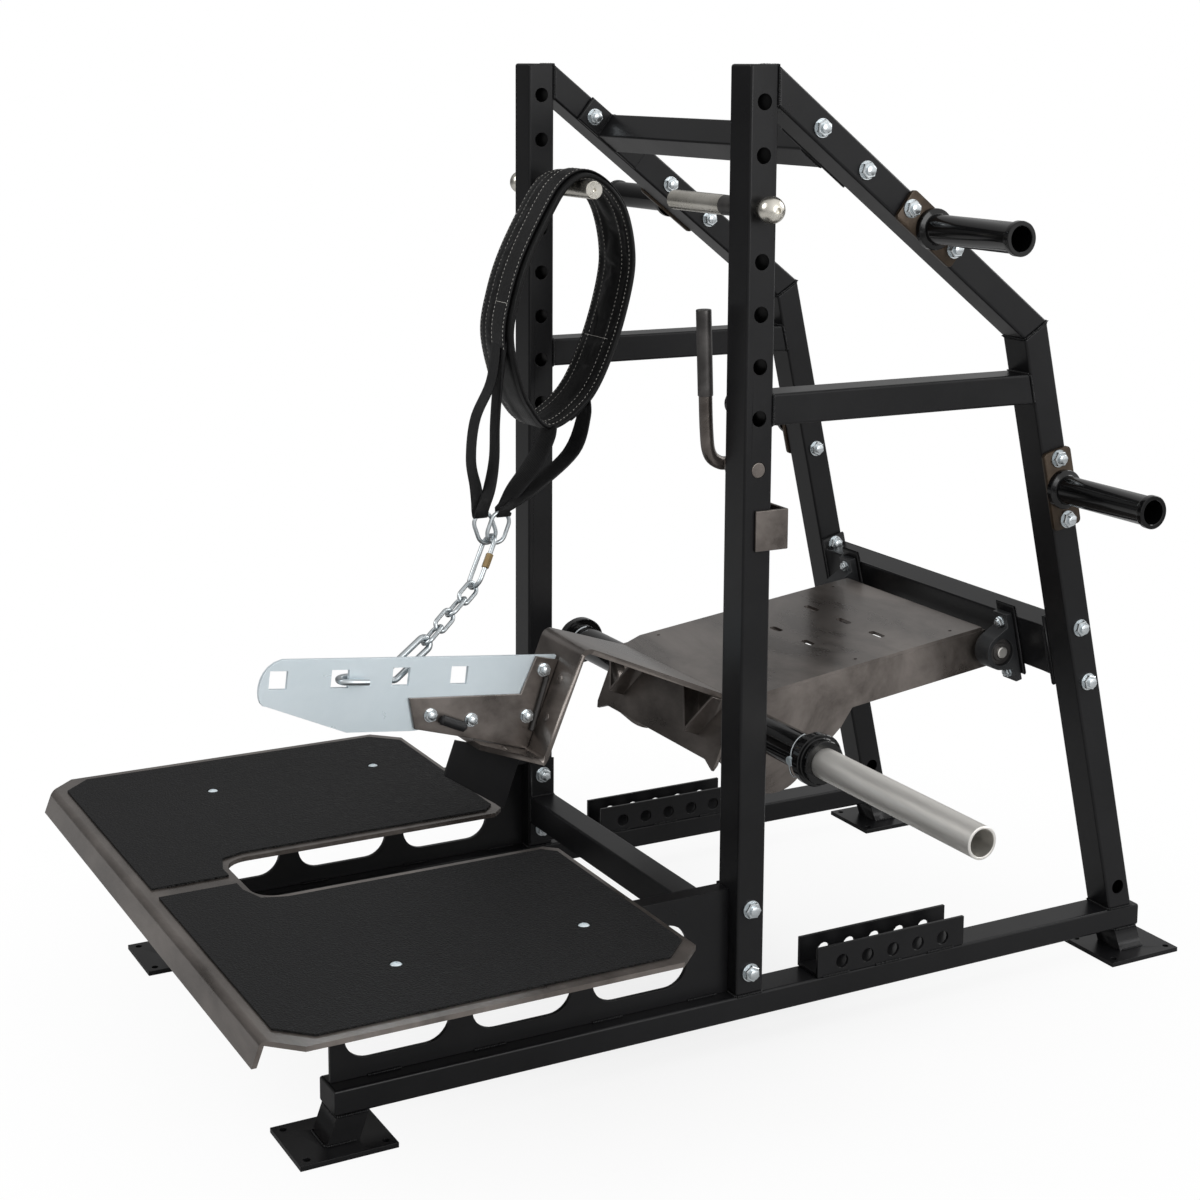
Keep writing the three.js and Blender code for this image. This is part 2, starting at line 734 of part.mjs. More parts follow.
function deckGeometry() {
  const sheet = extruded(deckOutline(), deckSheet, 4).translate(0, 0, deckUnder);
  const lipWidth = 2 * (deckHalfWidth - deckChamfer);
  const lip = sidePiece(outline([
    [deckBend, deckHeight],
    [deckFront, deckHeight - deckLip],
    [deckFront + deckSheet, deckHeight - deckLip],
    [deckBend + deckSheet, deckHeight],
  ]), -lipWidth / 2, lipWidth);
  const holes = [-1, 1].flatMap((side) => matHoles.map(
    (y) => rodZ(matHoleRadius, deckUnder - overrun, deckHeight + overrun, side * matHoleX, y),
  ));
  return cut(join(sheet, lip), ...holes);
}

function matGeometry(side) {
  const outside = deckHalfWidth - matInset;
  const front = deckBend + matInset;
  const rear = deckRear - matInset / 2;
  const slotEdge = slotHalfWidth + matSlotInset;
  const shape = outline([
    [matGap, front],
    [outside - deckChamfer, front],
    [outside, front + deckChamfer],
    [outside, rear - deckChamfer],
    [outside - deckChamfer, rear],
    [slotEdge + slotFlare, rear],
    [slotEdge, rear - slotFlare],
    [slotEdge, slotFront + slotCorner],
    [slotEdge - slotCorner / 3, slotFront + slotCorner / 3 - matInset / 2],
    [slotHalfWidth - slotCorner, slotFront - matInset / 2],
    [matGap, slotFront - matInset / 2],
  ]);
  matHoles.forEach((y) => shape.holes.push(roundHole(matHoleX, y, matHoleRadius)));
  const right = extruded(shape, matThickness).translate(0, 0, deckHeight + seat);
  return side > 0 ? right : geometryFrom(solidFrom(right).mirror([1, 0, 0]));
}

function sidePlateGeometry(side) {
  const top = deckUnder - seat;
  const middle = outerX - tubeWidth / 2;
  const outer = middle + sidePlateThickness / 2;
  const front = railFront + sidePlateThickness / 2;
  const bottom = railTop + seat;
  const shape = outline([[front, bottom], [-seat, bottom], [-seat, top], [front, top]]);
  const windowTotal = -front - windowFrontMargin - windowRearMargin - (windowCount - 1) * windowBar;
  const windowLength = windowTotal / windowCount;
  for (let i = 0; i < windowCount; i += 1) {
    const start = front + windowFrontMargin + i * (windowLength + windowBar);
    const end = start + windowLength;
    shape.holes.push(roundedRectangle([start, windowBottom], [end, windowTop], windowCorner));
  }
  const plate = sidePiece(shape, startX(side, outer, sidePlateThickness), sidePlateThickness, 4);
  const flangeX = startX(side, outer, sidePlateFlange);
  const flange = block(
    [flangeX, front, top - sidePlateThickness],
    [flangeX + sidePlateFlange, -seat, top],
  );
  return join(plate, flange);
}

addPiece('deck', deckGeometry(), 'bareSteel');
for (const [name, side] of Object.entries(mirrored)) {
  addPiece(`mat_${name}`, matGeometry(side), 'matGrip');
  addPiece(`side_plate_${name}`, sidePlateGeometry(side), 'blackCoat');
}

// Peg channels: a folded sheet with a row of holes in both walls

function channelGeometry(side) {
  const x = side * (outerX - tubeWidth / 2) - channelWidth / 2;
  const bottom = railTop + seat;
  const rear = channelFront + channelLength;
  const outside = block([x, channelFront, bottom], [x + channelWidth, rear, bottom + channelHeight]);
  const inside = block(
    [x + channelSheet, channelFront - overrun, bottom + channelSheet],
    [x + channelWidth - channelSheet, rear + overrun, bottom + channelHeight + overrun],
  );
  const holes = [];
  for (let i = 0; i < channelHoleCount; i += 1) {
    const y = channelFront + channelHoleFirst + i * channelHolePitch;
    const z = bottom + channelHoleHeight;
    holes.push(rodX(channelHoleRadius, x - overrun, x + channelWidth + overrun, y, z, 12));
  }
  return cut(outside, inside, ...holes);
}

// Storage horns: a tube with a lip, a flange and a bolted plate, welded into one

function hornGeometry(side) {
  const along = (distance) => side * (outerX + distance);
  const plateX = startX(side, outerX + seat + hornPlateThickness, hornPlateThickness);
  const plate = block(
    [plateX, -hornPlateWidth / 2, -hornPlateLength / 2],
    [plateX + hornPlateThickness, hornPlateWidth / 2, hornPlateLength / 2],
  );
  const flangeEnd = seat + hornPlateThickness + hornFlangeThickness;
  const flange = rodX(hornFlangeRadius, along(seat + hornPlateThickness / 2), along(flangeEnd), 0, 0);
  const tube = rodX(hornRadius, along(seat + hornPlateThickness / 2), along(hornReach), 0, 0);
  const lip = rodX(hornLipRadius, along(hornReach - hornLipLength), along(hornReach), 0, 0);
  const bore = rodX(hornBore, along(flangeEnd), along(hornReach + overrun), 0, 0);
  return cut(join(plate, flange, tube, lip), bore);
}

// Hand pegs: a bar through the upright, with a thicker grip inside and a ball outside

function pegGeometry(side) {
  const along = (distance) => side * distance;
  const ballX = outerX + pegBallOffset;
  const bar = rodX(pegRadius, along(innerX - seat - pegRadius), along(ballX), 0, 0);
  const handle = rodX(pegHandleRadius, along(pegInnerX), along(innerX - seat), 0, 0);
  const ball = new THREE.SphereGeometry(pegBallRadius, 16, 10).translate(along(ballX), 0, 0);
  const face = block(
    [startX(side, outerX + seat, 2 * pegBallRadius), -pegBallRadius - overrun, -pegBallRadius - overrun],
    [
      startX(side, outerX + seat, 2 * pegBallRadius) + 2 * pegBallRadius,
      pegBallRadius + overrun,
      pegBallRadius + overrun,
    ],
  );
  return join(cut(ball, face), bar, handle);
}

for (const [name, side] of Object.entries(mirrored)) {
  addPiece(`peg_channel_${name}`, channelGeometry(side), 'blackCoat');
  const upper = addPiece(`upper_horn_${name}`, hornGeometry(side), 'blackGloss');
  upper.position.set(0, upperHornY, slopeMiddleZ(upperHornY));
  upper.rotation.x = Math.PI / 2 - slopeAngle;
  const lower = addPiece(`lower_horn_${name}`, hornGeometry(side), 'blackGloss');
  lower.position.set(0, legMiddleY(lowerHornZ), lowerHornZ);
  lower.rotation.x = legAngle;
  const peg = addPiece(`hand_peg_${name}`, pegGeometry(side), 'steel');
  peg.position.set(0, uprightMiddleY, pegHoleZ(pegHoleIndex));
}

// Pillow blocks on the front face of the rear beam, drawn about the shaft's centre

const blockFace = tubeDepth / 2 + blockPlateThickness + blockHeight;
const pivotY = rearBeam.position.y - blockFace * Math.cos(legAngle) + blockDrop * Math.sin(legAngle);
const pivotZ = rearBeamZ - blockFace * Math.sin(legAngle) - blockDrop * Math.cos(legAngle);

// Turn, seen from a circle's centre, at which a line from a point touches the circle
function tangentTurn(point, centre, radius, sign) {
  const [a, b] = [point[0] - centre[0], point[1] - centre[1]];
  return Math.atan2(b, a) + sign * Math.acos(radius / Math.hypot(a, b));
}

function pillowGeometry(side) {
  const x = startX(side, blockX + blockWidth / 2, blockWidth);
  const back = blockHeight - seat;
  const half = blockLength / 2;
  const turn = tangentTurn([back - blockBase, blockNeck], [0, 0], blockCrown, 1);
  const shape = new THREE.Shape();
  shape.moveTo(back, -half);
  shape.lineTo(back, half);
  shape.lineTo(back - blockBase, half);
  shape.lineTo(back - blockBase, blockNeck);
  shape.absarc(0, 0, blockCrown, turn, 2 * Math.PI - turn, false);
  shape.lineTo(back - blockBase, -blockNeck);
  shape.lineTo(back - blockBase, -half);
  shape.closePath();
  shape.holes.push(roundHole(0, 0, insertRadius + seat));
  return sidePiece(shape, x, blockWidth, 12);
}

function insertGeometry(side) {
  const x = startX(side, blockX + insertWidth / 2, insertWidth);
  const ring = new THREE.Shape();
  ring.absarc(0, 0, insertRadius, 0, 2 * Math.PI, false);
  ring.holes.push(roundHole(0, 0, shaftRadius + seat));
  return sidePiece(ring, x, insertWidth, 24);
}

for (const [name, side] of Object.entries(mirrored)) {
  for (const [piece, geometry, finish] of [
    [`pillow_block_${name}`, pillowGeometry(side), 'casting'],
    [`bearing_${name}`, insertGeometry(side), 'steel'],
  ]) {
    const mesh = addPiece(piece, geometry, finish);
    mesh.position.set(0, pivotY, pivotZ);
    mesh.rotation.x = legAngle;
  }
}

// Lever arm: its layout has the pivot at the origin, the front towards -Y, and lies level

arm.position.set(0, pivotY, pivotZ);
arm.rotation.x = THREE.MathUtils.degToRad(armTilt);
model.add(arm);

const armUnder = armTopZ - armTopSheet;
const frontLean = Math.atan2(armFrontLean, armFrontDrop);

function armSideGeometry(side) {
  const head = armUnder - seat;
  const foot = armUnder - armFrontDrop + armTopSheet;
  const frontY = (z) => -armFrontHead - (armUnder - z) * Math.tan(frontLean) + 2 * seat;
  const lobe = [-armLobeY, armLobeZ];
  const step = [-armStepY, -armStepDepth];
  const lobeStart = tangentTurn(step, lobe, armLobeRadius, -1);
  const lobeEnd = tangentTurn([frontY(foot), foot], lobe, armLobeRadius, 1);
  const bossTurn = Math.acos(armSideRear / armEndRadius);
  const shape = new THREE.Shape();
  shape.moveTo(frontY(head), head);
  shape.lineTo(armSideRear, head);
  shape.absarc(0, 0, armEndRadius, bossTurn, -bossTurn, true);
  shape.lineTo(armSideRear, -armSideDepth);
  shape.lineTo(-armStraight, -armSideDepth);
  shape.lineTo(...step);
  shape.absarc(...lobe, armLobeRadius, lobeStart, lobeEnd - 2 * Math.PI, true);
  shape.lineTo(frontY(foot), foot);
  shape.closePath();
  const bore = rodX(shaftRadius + seat, -armHalfWidth - overrun, armHalfWidth + overrun, 0, 0);
  return cut(sidePiece(shape, startX(side, armHalfWidth, armSideSheet), armSideSheet, 10), bore);
}

function armTopGeometry() {
  const shape = outline([
    [-armHalfWidth, -armRear],
    [-armHalfWidth, -armFront + armCornerCut],
    [-armHalfWidth + armCornerCut / 2, -armFront],
    [armHalfWidth - armCornerCut / 2, -armFront],
    [armHalfWidth, -armFront + armCornerCut],
    [armHalfWidth, -armRear],
  ]);
  // Plain slots in two rows, and the holes that the side plates' tabs come up through
  for (const [acrossShare, alongShare, lengthShare] of armSlotShares) {
    const x = acrossShare * armHalfWidth;
    const y = -armRear - alongShare * (armFront - armRear);
    const half = (lengthShare * armHalfWidth) / 2;
    const [low, high] = [[x - half, y - armTopSheet], [x + half, y + armTopSheet]];
    shape.holes.push(roundedRectangle(low, high, armTopSheet - seat));
  }
  for (const acrossShare of armTabAcrossShares) {
    for (const alongShare of armTabAlongShares) {
      const y = -armRear - alongShare * (armFront - armRear);
      shape.holes.push(roundHole(acrossShare * armHalfWidth, y, armTabHole));
    }
  }
  return extruded(shape, armTopSheet, 2).translate(0, 0, armUnder);
}

// Front plate with a tab at each lower corner and two V ribs that stand under the nose
function armFrontGeometry() {
  const half = armHalfWidth;
  const slant = Math.hypot(armFrontDrop, armFrontLean);
  const head = -armTopSheet * Math.tan(frontLean) - seat;
  const shape = outline([
    [-half, head],
    [-half, -slant],
    [-half + armFrontTab / 2, -slant - armFrontTab],
    [-half + 3 * armFrontTab, -slant],
    [half - 3 * armFrontTab, -slant],
    [half - armFrontTab / 2, -slant - armFrontTab],
    [half, -slant],
    [half, head],
  ]);
  const ribs = [-1, 1].map((side) => {
    const x = side * armRibX;
    const top = -armTopSheet;
    const inset = armRibSheet * Math.hypot(1, armRibHalfWidth / armRibDepth);
    const drop = (inset * armRibDepth) / armRibHalfWidth;
    return frontPiece(outline([
      [x - armRibHalfWidth, top],
      [x, top - armRibDepth],
      [x + armRibHalfWidth, top],
      [x + armRibHalfWidth - inset, top],
      [x, top - armRibDepth + drop],
      [x - armRibHalfWidth + inset, top],
    ]), -armTopSheet / 2, armRibReach);
  });
  const body = join(frontPiece(shape, 0, armTopSheet), ...ribs).rotateX(-frontLean);
  return body.translate(0, -armFrontHead, armUnder);
}

// Nose: one bent strap, drawn in side view and trimmed to its widths seen from above

const noseLine = [
  [-armFront - seat, armTopZ],
  [-noseBendY, noseBendZ],
  [-noseFootY, noseFootZ],
  [-noseTipY, noseTipZ],
];
const noseNormals = noseLine.slice(1).map(([y, z], i) => {
  const [dy, dz] = [y - noseLine[i][0], z - noseLine[i][1]];
  return [dz / Math.hypot(dy, dz), -dy / Math.hypot(dy, dz)];
});

// The strap's other face, the given distance under the drawn line
function noseUnderline(distance) {
  return noseLine.map((corner, i) => {
    const before = noseNormals[Math.max(i - 1, 0)];
    const after = noseNormals[Math.min(i, noseNormals.length - 1)];
    const scale = distance / (1 + before[0] * after[0] + before[1] * after[1]);
    return [corner[0] - (before[0] + after[0]) * scale, corner[1] - (before[1] + after[1]) * scale];
  });
}

function noseGeometry() {
  const [root, bend, foot, tip] = noseLine;
  const under = noseUnderline(noseSheet);
  const strap = sidePiece(outline([...noseLine, ...under.reverse()]), -armHalfWidth, 2 * armHalfWidth);
  const plan = extruded(outline([
    [-noseRootHalfWidth, root[0] + overrun],
    [-noseBendHalfWidth, bend[0]],
    [-noseFootHalfWidth, foot[0]],
    [-noseTipHalfWidth, tip[0] - overrun],
    [noseTipHalfWidth, tip[0] - overrun],
    [noseFootHalfWidth, foot[0]],
    [noseBendHalfWidth, bend[0]],
    [noseRootHalfWidth, root[0] + overrun],
  ]), 2 * armHalfWidth).translate(0, 0, -armHalfWidth);
  const slotY = (foot[0] + tip[0]) / 2;
  const slot = block(
    [noseSlotX, slotY - noseSlotWidth / 2, foot[1] - 2 * noseSheet],
    [noseSlotX + noseSlotLength, slotY + noseSlotWidth / 2, tip[1] + overrun],
  );
  return geometryFrom(solidFrom(strap).intersect(solidFrom(plan)).subtract(solidFrom(slot)));
}

addPiece('arm_top', armTopGeometry(), 'bareSteel', arm);
addPiece('arm_front', armFrontGeometry(), 'bareSteel', arm);
addPiece('arm_nose', noseGeometry(), 'bareSteel', arm);
addPiece('pivot_shaft', rodX(shaftRadius, -shaftHalfLength, shaftHalfLength, 0, 0), 'steel', arm);
for (const [name, side] of Object.entries(mirrored)) {
  addPiece(`arm_side_${name}`, armSideGeometry(side), 'bareSteel', arm);
}

// Tongue, its bracket and the fin under the nose's foot

function squareHole([y, z], side, turn) {
  const reach = side / Math.SQRT2;
  const corners = squareCornerShares.map((share) => {
    const angle = share * Math.PI + THREE.MathUtils.degToRad(turn);
    return [y + reach * Math.cos(angle), z + reach * Math.sin(angle)];
  });
  return new THREE.Path(outline(corners).getPoints());
}

function tongueGeometry() {
  const shape = new THREE.Shape();
  shape.moveTo(...tongueRear);
  shape.lineTo(...tongueHead);
  const roundEnd = [tongueTipY - tongueThickness, tongueChin[1]];
  shape.bezierCurveTo(tongueTipY, tongueHead[1], ...roundEnd, ...tongueChin);
  shape.lineTo(...tongueBelly);
  shape.lineTo(...tongueHeel);
  shape.lineTo(...tongueFoot);
  shape.closePath();
  tongueHoles.forEach((hole) => shape.holes.push(squareHole(hole, tongueHoleSide, -tongueHoleTurn)));
  return sidePiece(shape, -tongueThickness / 2, tongueThickness, 10);
}

function bracketGeometry() {
  const front = noseUnderline(-2 * seat);
  const along = (from, to, y) => from[1] + ((to[1] - from[1]) * (y - from[0])) / (to[0] - from[0]);
  const top = [tongueRear[0] - seat, along(front[1], front[2], tongueRear[0])];
  return sidePiece(
    outline([top, bracketHead, bracketElbow, bracketEnd, bracketHeel, front[3], front[2]]),
    tongueThickness / 2 + seat,
    bracketThickness,
  );
}

function finGeometry() {
  const under = noseUnderline(noseSheet + seat);
  const [foot, tip] = under.slice(2);
  const slope = (tip[1] - foot[1]) / (tip[0] - foot[0]);
  const top = (y) => [-y, foot[1] + slope * (-y - foot[0])];
  return sidePiece(outline([top(finRear), ...finLow, top(finFront)]), -finThickness / 2, finThickness);
}

addPiece('tongue', tongueGeometry(), 'zinc', arm);
addPiece('tongue_bracket', bracketGeometry(), 'bareSteel', arm);
addPiece('stop_fin', finGeometry(), 'blackCoat', arm);

// Sleeve sockets with their pins; the right one holds a plate sleeve

function rodY(radius, y0, y1, x, z, sides = 16) {
  const rod = new THREE.CylinderGeometry(radius, radius, Math.abs(y1 - y0), sides);
  return rod.translate(x, (y0 + y1) / 2, z);
}

function sleeveGeometry(side) {
  const [start, end] = [side * sleeveStartX, side * sleeveEndX];
  return cut(
    rodX(sleeveRadius, start, end, -sleeveY, sleeveZ, 32),
    rodX(sleeveBore, start - side * overrun, end + side * overrun, -sleeveY, sleeveZ, 24),
    rodY(hitchRadius + seat, -sleeveY - socketRadius, -sleeveY, side * hitchX, sleeveZ),
  );
}

function socketGeometry(side) {
  const start = side * (armHalfWidth + seat);
  const rod = (radius, from, to, sides) => rodX(radius, from, side * to, -sleeveY, sleeveZ, sides);
  return cut(
    join(
      rod(socketRadius, start, socketCollarEndX - hitchStand, 32),
      rod(socketCollarRadius, side * socketEndX, socketCollarEndX, 36),
      rod(socketStepRadius, side * (socketCollarEndX - hitchStand), socketStepEndX, 36),
    ),
    rod(sleeveRadius + seat, start - side * overrun, socketStepEndX + overrun, 32),
    rodY(hitchRadius + seat, -sleeveY - socketRadius - overrun, -sleeveY, side * hitchX, sleeveZ),
  );
}

function hitchGeometry(side) {
  const face = -sleeveY - socketRadius;
  const x = side * hitchX;
  const headEnd = face - hitchStand - hitchHeadLength;
  return join(
    rodY(hitchRadius, headEnd + hitchStand, face + hitchDepth, x, sleeveZ),
    rodY(hitchHeadRadius, headEnd, face - hitchStand, x, sleeveZ),
  );
}

addPiece('sleeve_right', sleeveGeometry(mirrored.right), 'steel', arm);
for (const [name, side] of Object.entries(mirrored)) {
  addPiece(`sleeve_socket_${name}`, socketGeometry(side), 'blackGloss', arm);
  addPiece(`hitch_pin_${name}`, hitchGeometry(side), 'zinc', arm);
}

// Release lever on the right upright: a bar inside, and a saddle that wraps behind the tube

const releaseZ = pegHoleZ(releaseHole);

function wire(points, radius, steps, sides = 10) {
  const circle = new THREE.Shape();
  circle.absarc(0, 0, radius, 0, 2 * Math.PI, false);
  const path = new THREE.CatmullRomCurve3(points.map((point) => new THREE.Vector3(...point)));
  return new THREE.ExtrudeGeometry(circle, { steps, extrudePath: path, curveSegments: sides / 2 });
}

function handleGeometry() {
  const x = innerX - seat - releasePlate - seat - handleRadius;
  return wire([
    [x, -handleForward, releaseZ + handleTop],
    [x, -(handleForward + handleBend) / 2, releaseZ + (handleTop + handleBendTop) / 2],
    [x, -handleBend, releaseZ + handleBendTop],
    [x, -handleRadius, releaseZ + handleRadius],
    [x, uprightMiddleY, releaseZ],
  ], handleRadius, 14, 12);
}

function saddleGeometry() {
  const x = innerX - seat - releasePlate;
  const rear = tubeDepth + saddleReach;
  const outside = outerX + seat + saddleSheet;
  const [low, high] = [releaseZ - saddleBottom, releaseZ - saddleTop];
  const shape = new THREE.Shape();
  shape.absarc(uprightMiddleY, releaseZ, releaseEyeRadius, 0, Math.PI, false);
  shape.lineTo(saddleFront, high);
  shape.lineTo(saddleFront, low);
  shape.lineTo(rear, low);
  shape.lineTo(rear, high);
  shape.closePath();
  return join(
    sidePiece(shape, x, releasePlate, 8),
    block([x + saddleSheet, rear - saddleSheet, low], [outside - saddleSheet / 2, rear, high]),
    block([outside - saddleSheet, saddleFront, low], [outside, rear, high]),
    rodX(releasePinRadius, x + saddleSheet, outerX + seat, uprightMiddleY, releaseZ),
  );
}

addPiece('release_handle', handleGeometry(), 'steel');
addPiece('release_saddle', saddleGeometry(), 'steel');

// Belt: a padded band over the left hand peg with four strap strands that hold two rings

// A flat strip along a route: each place has its point, and the direction of the strip's width
function ribbon(places, width, thickness) {
  const corners = [];
  const faces = [];
  places.forEach(([point, across], i) => {
    const before = places[Math.max(i - 1, 0)][0];
    const after = places[Math.min(i + 1, places.length - 1)][0];
    const tangent = after.clone().sub(before).normalize();
    const side = across.clone().addScaledVector(tangent, -across.dot(tangent));
    const normal = new THREE.Vector3().crossVectors(tangent, side).normalize();
    for (const [a, b] of [[1, 1], [-1, 1], [-1, -1], [1, -1]]) {
      const corner = point.clone().addScaledVector(side, (a * width) / 2);
      corners.push(...corner.addScaledVector(normal, (b * thickness) / 2).toArray());
    }
  });
  const last = (places.length - 1) * 4;
  for (let i = 0; i < last; i += 4) {
    for (let k = 0; k < 4; k += 1) {
      const next = (k + 1) % 4;
      faces.push(i + k, i + next, i + 4 + k, i + next, i + 4 + next, i + 4 + k);
    }
  }
  faces.push(0, 3, 2, 0, 2, 1, last, last + 1, last + 2, last, last + 2, last + 3);
  const geometry = new THREE.BufferGeometry();
  geometry.setAttribute('position', new THREE.Float32BufferAttribute(corners, 3));
  geometry.setIndex(faces);
  return geometry;
}

function strandGeometry([name, strand]) {
  const points = strand.map(([x, y, z]) => new THREE.Vector3(x, y, z));
  const widths = strapWidthShares[name].map(([x, y]) => new THREE.Vector3(x, y, 0));
  const route = new THREE.CatmullRomCurve3(points);
  const turn = new THREE.CatmullRomCurve3(widths);
  const count = strapSteps * (strand.length - 1);
  const places = [];
  for (let i = 0; i <= count; i += 1) {
    places.push([route.getPoint(i / count), turn.getPoint(i / count)]);
  }
  return ribbon(places, strapWidth, strapThickness);
}

// The strap's turn in a ring, level with the part of the ring that it holds
function strapTurn(x, y) {
  const outer = strapTurnRadius + strapThickness;
  const gathered = strapWidth * strapGather;
  const shape = new THREE.Shape();
  const head = strapStrands.frontOuter.at(-1)[2] + strapThickness - ringTopZ;
  shape.moveTo(outer, head);
  shape.lineTo(outer, 0);
  shape.absarc(0, 0, outer, 0, -Math.PI, true);
  shape.lineTo(-outer, head);
  shape.lineTo(-outer + strapThickness, head);
  shape.absarc(0, 0, outer - strapThickness, -Math.PI, 0, false);
  shape.lineTo(outer - strapThickness, head);
  shape.closePath();
  const turn = frontPiece(shape, gathered / 2, gathered, 6);
  return turn.rotateX(Math.atan2(ringMeetY - y, 2 * ringHalfLength)).translate(x, y, ringTopZ);
}

function beltGeometry() {
  const route = new THREE.CatmullRomCurve3(
    beltRoute.map(([y, z]) => new THREE.Vector3(0, y, z)),
    true,
  );
  const edge = (distance) => {
    const points = [];
    for (let i = 0; i < beltSamples; i += 1) {
      const point = route.getPointAt(i / beltSamples);
      const tangent = route.getTangentAt(i / beltSamples);
      points.push([point.y - tangent.z * distance, point.z + tangent.y * distance]);
    }
    return points;
  };
  const farX = beltNearX - beltWidth;
  return join(
    cut(
      sidePiece(outline(edge(beltThickness / 2)), farX, beltWidth),
      sidePiece(outline(edge(-beltThickness / 2)), farX - overrun, beltWidth + 2 * overrun),
    ),
    ...Object.entries(strapStrands).map(strandGeometry),
    strapTurn(ringFrontX, ringFrontY),
    strapTurn(ringRearX, ringRearY),
  );
}

addPiece('belt', beltGeometry(), 'webbing');

// Rings, quick link, chain and hook, each hanging in the one before

const vector = (point) => new THREE.Vector3(...point);

// A loop from one end of its middle line to the other, its plane turned about that line
function linkBetween(top, bottom, halfWidth, wireRadius, plane) {
  const along = bottom.clone().sub(top);
  const halfLength = along.length() / 2;
  along.normalize();
  const across = plane.clone().addScaledVector(along, -plane.dot(along)).normalize();
  const centre = top.clone().add(bottom).multiplyScalar(1 / 2);
  return wireLoop(centre, along, across, halfLength, halfWidth, wireRadius);
}

function addRing(name, x, y) {
  const top = vector([x, y, ringTopZ]);
  const towards = vector([x, ringMeetY, ringTopZ - 2 * ringHalfLength]).sub(top).normalize();
  const bottom = top.clone().addScaledVector(towards, 2 * ringHalfLength);
  addPiece(name, linkBetween(top, bottom, ringHalfWidth, ringWire, unitY), 'zinc');
  return bottom;
}

const frontFoot = addRing('belt_ring_front', ringFrontX, ringFrontY);
const rearFoot = addRing('belt_ring_rear', ringRearX, ringRearY);
const quickTop = frontFoot.clone().add(rearFoot).multiplyScalar(1 / 2);
quickTop.z = Math.max(frontFoot.z, rearFoot.z) + 2 * ringWire + quickWire + linkSlack;
const quickAlong = vector(quickEnd).sub(quickTop).normalize();
const quickAcross = unitX.clone().addScaledVector(quickAlong, -quickAlong.x).normalize();
const quickBottom = quickTop.clone().addScaledVector(quickAlong, 2 * quickHalfLength);
const quickGeometry = linkBetween(quickTop, quickBottom, quickHalfWidth, quickWire, quickAcross);
addPiece('quick_link', quickGeometry, 'zinc');

// The links lie in turn in two planes that cross on the chain's line
const chainAlong = vector(chainEnd).sub(quickBottom).normalize();
const chainStart = quickBottom.clone().addScaledVector(chainAlong, -(quickWire + linkWire + linkSlack));
const chainPitch = 2 * linkHalfLength - 2 * linkWire - linkSlack;
const crossPlane = new THREE.Vector3().crossVectors(quickAcross, chainAlong);
for (let i = 0; i < linkCount; i += 1) {
  const top = chainStart.clone().addScaledVector(chainAlong, i * chainPitch);
  const bottom = top.clone().addScaledVector(chainAlong, 2 * linkHalfLength);
  const plane = i % 2 ? quickAcross : crossPlane;
  addPiece(`chain_link_${i + 1}`, linkBetween(top, bottom, linkHalfWidth, linkWire, plane), 'zinc');
}

function hookGeometry() {
  const lastEnd = chainStart.clone().addScaledVector(
    chainAlong,
    (linkCount - 1) * chainPitch + 2 * linkHalfLength - linkWire - hookWire - linkSlack,
  );
  const shank = vector(hookRoute[0]);
  const reach = shank.clone().sub(lastEnd);
  const eyeEnd = shank.clone().addScaledVector(reach.normalize(), hookWire / 2);
  return join(
    linkBetween(lastEnd, eyeEnd, hookEyeHalf, hookWire, crossPlane),
    wire(hookRoute, hookWire, 18, 8),
  );
}

addPiece('hook', hookGeometry(), 'zinc');

// The model stands on the middle of its footprint

const bounds = new THREE.Box3().setFromObject(model, true);
model.position.x -= (bounds.min.x + bounds.max.x) / 2;
model.position.y -= (bounds.min.y + bounds.max.y) / 2;

export default model;
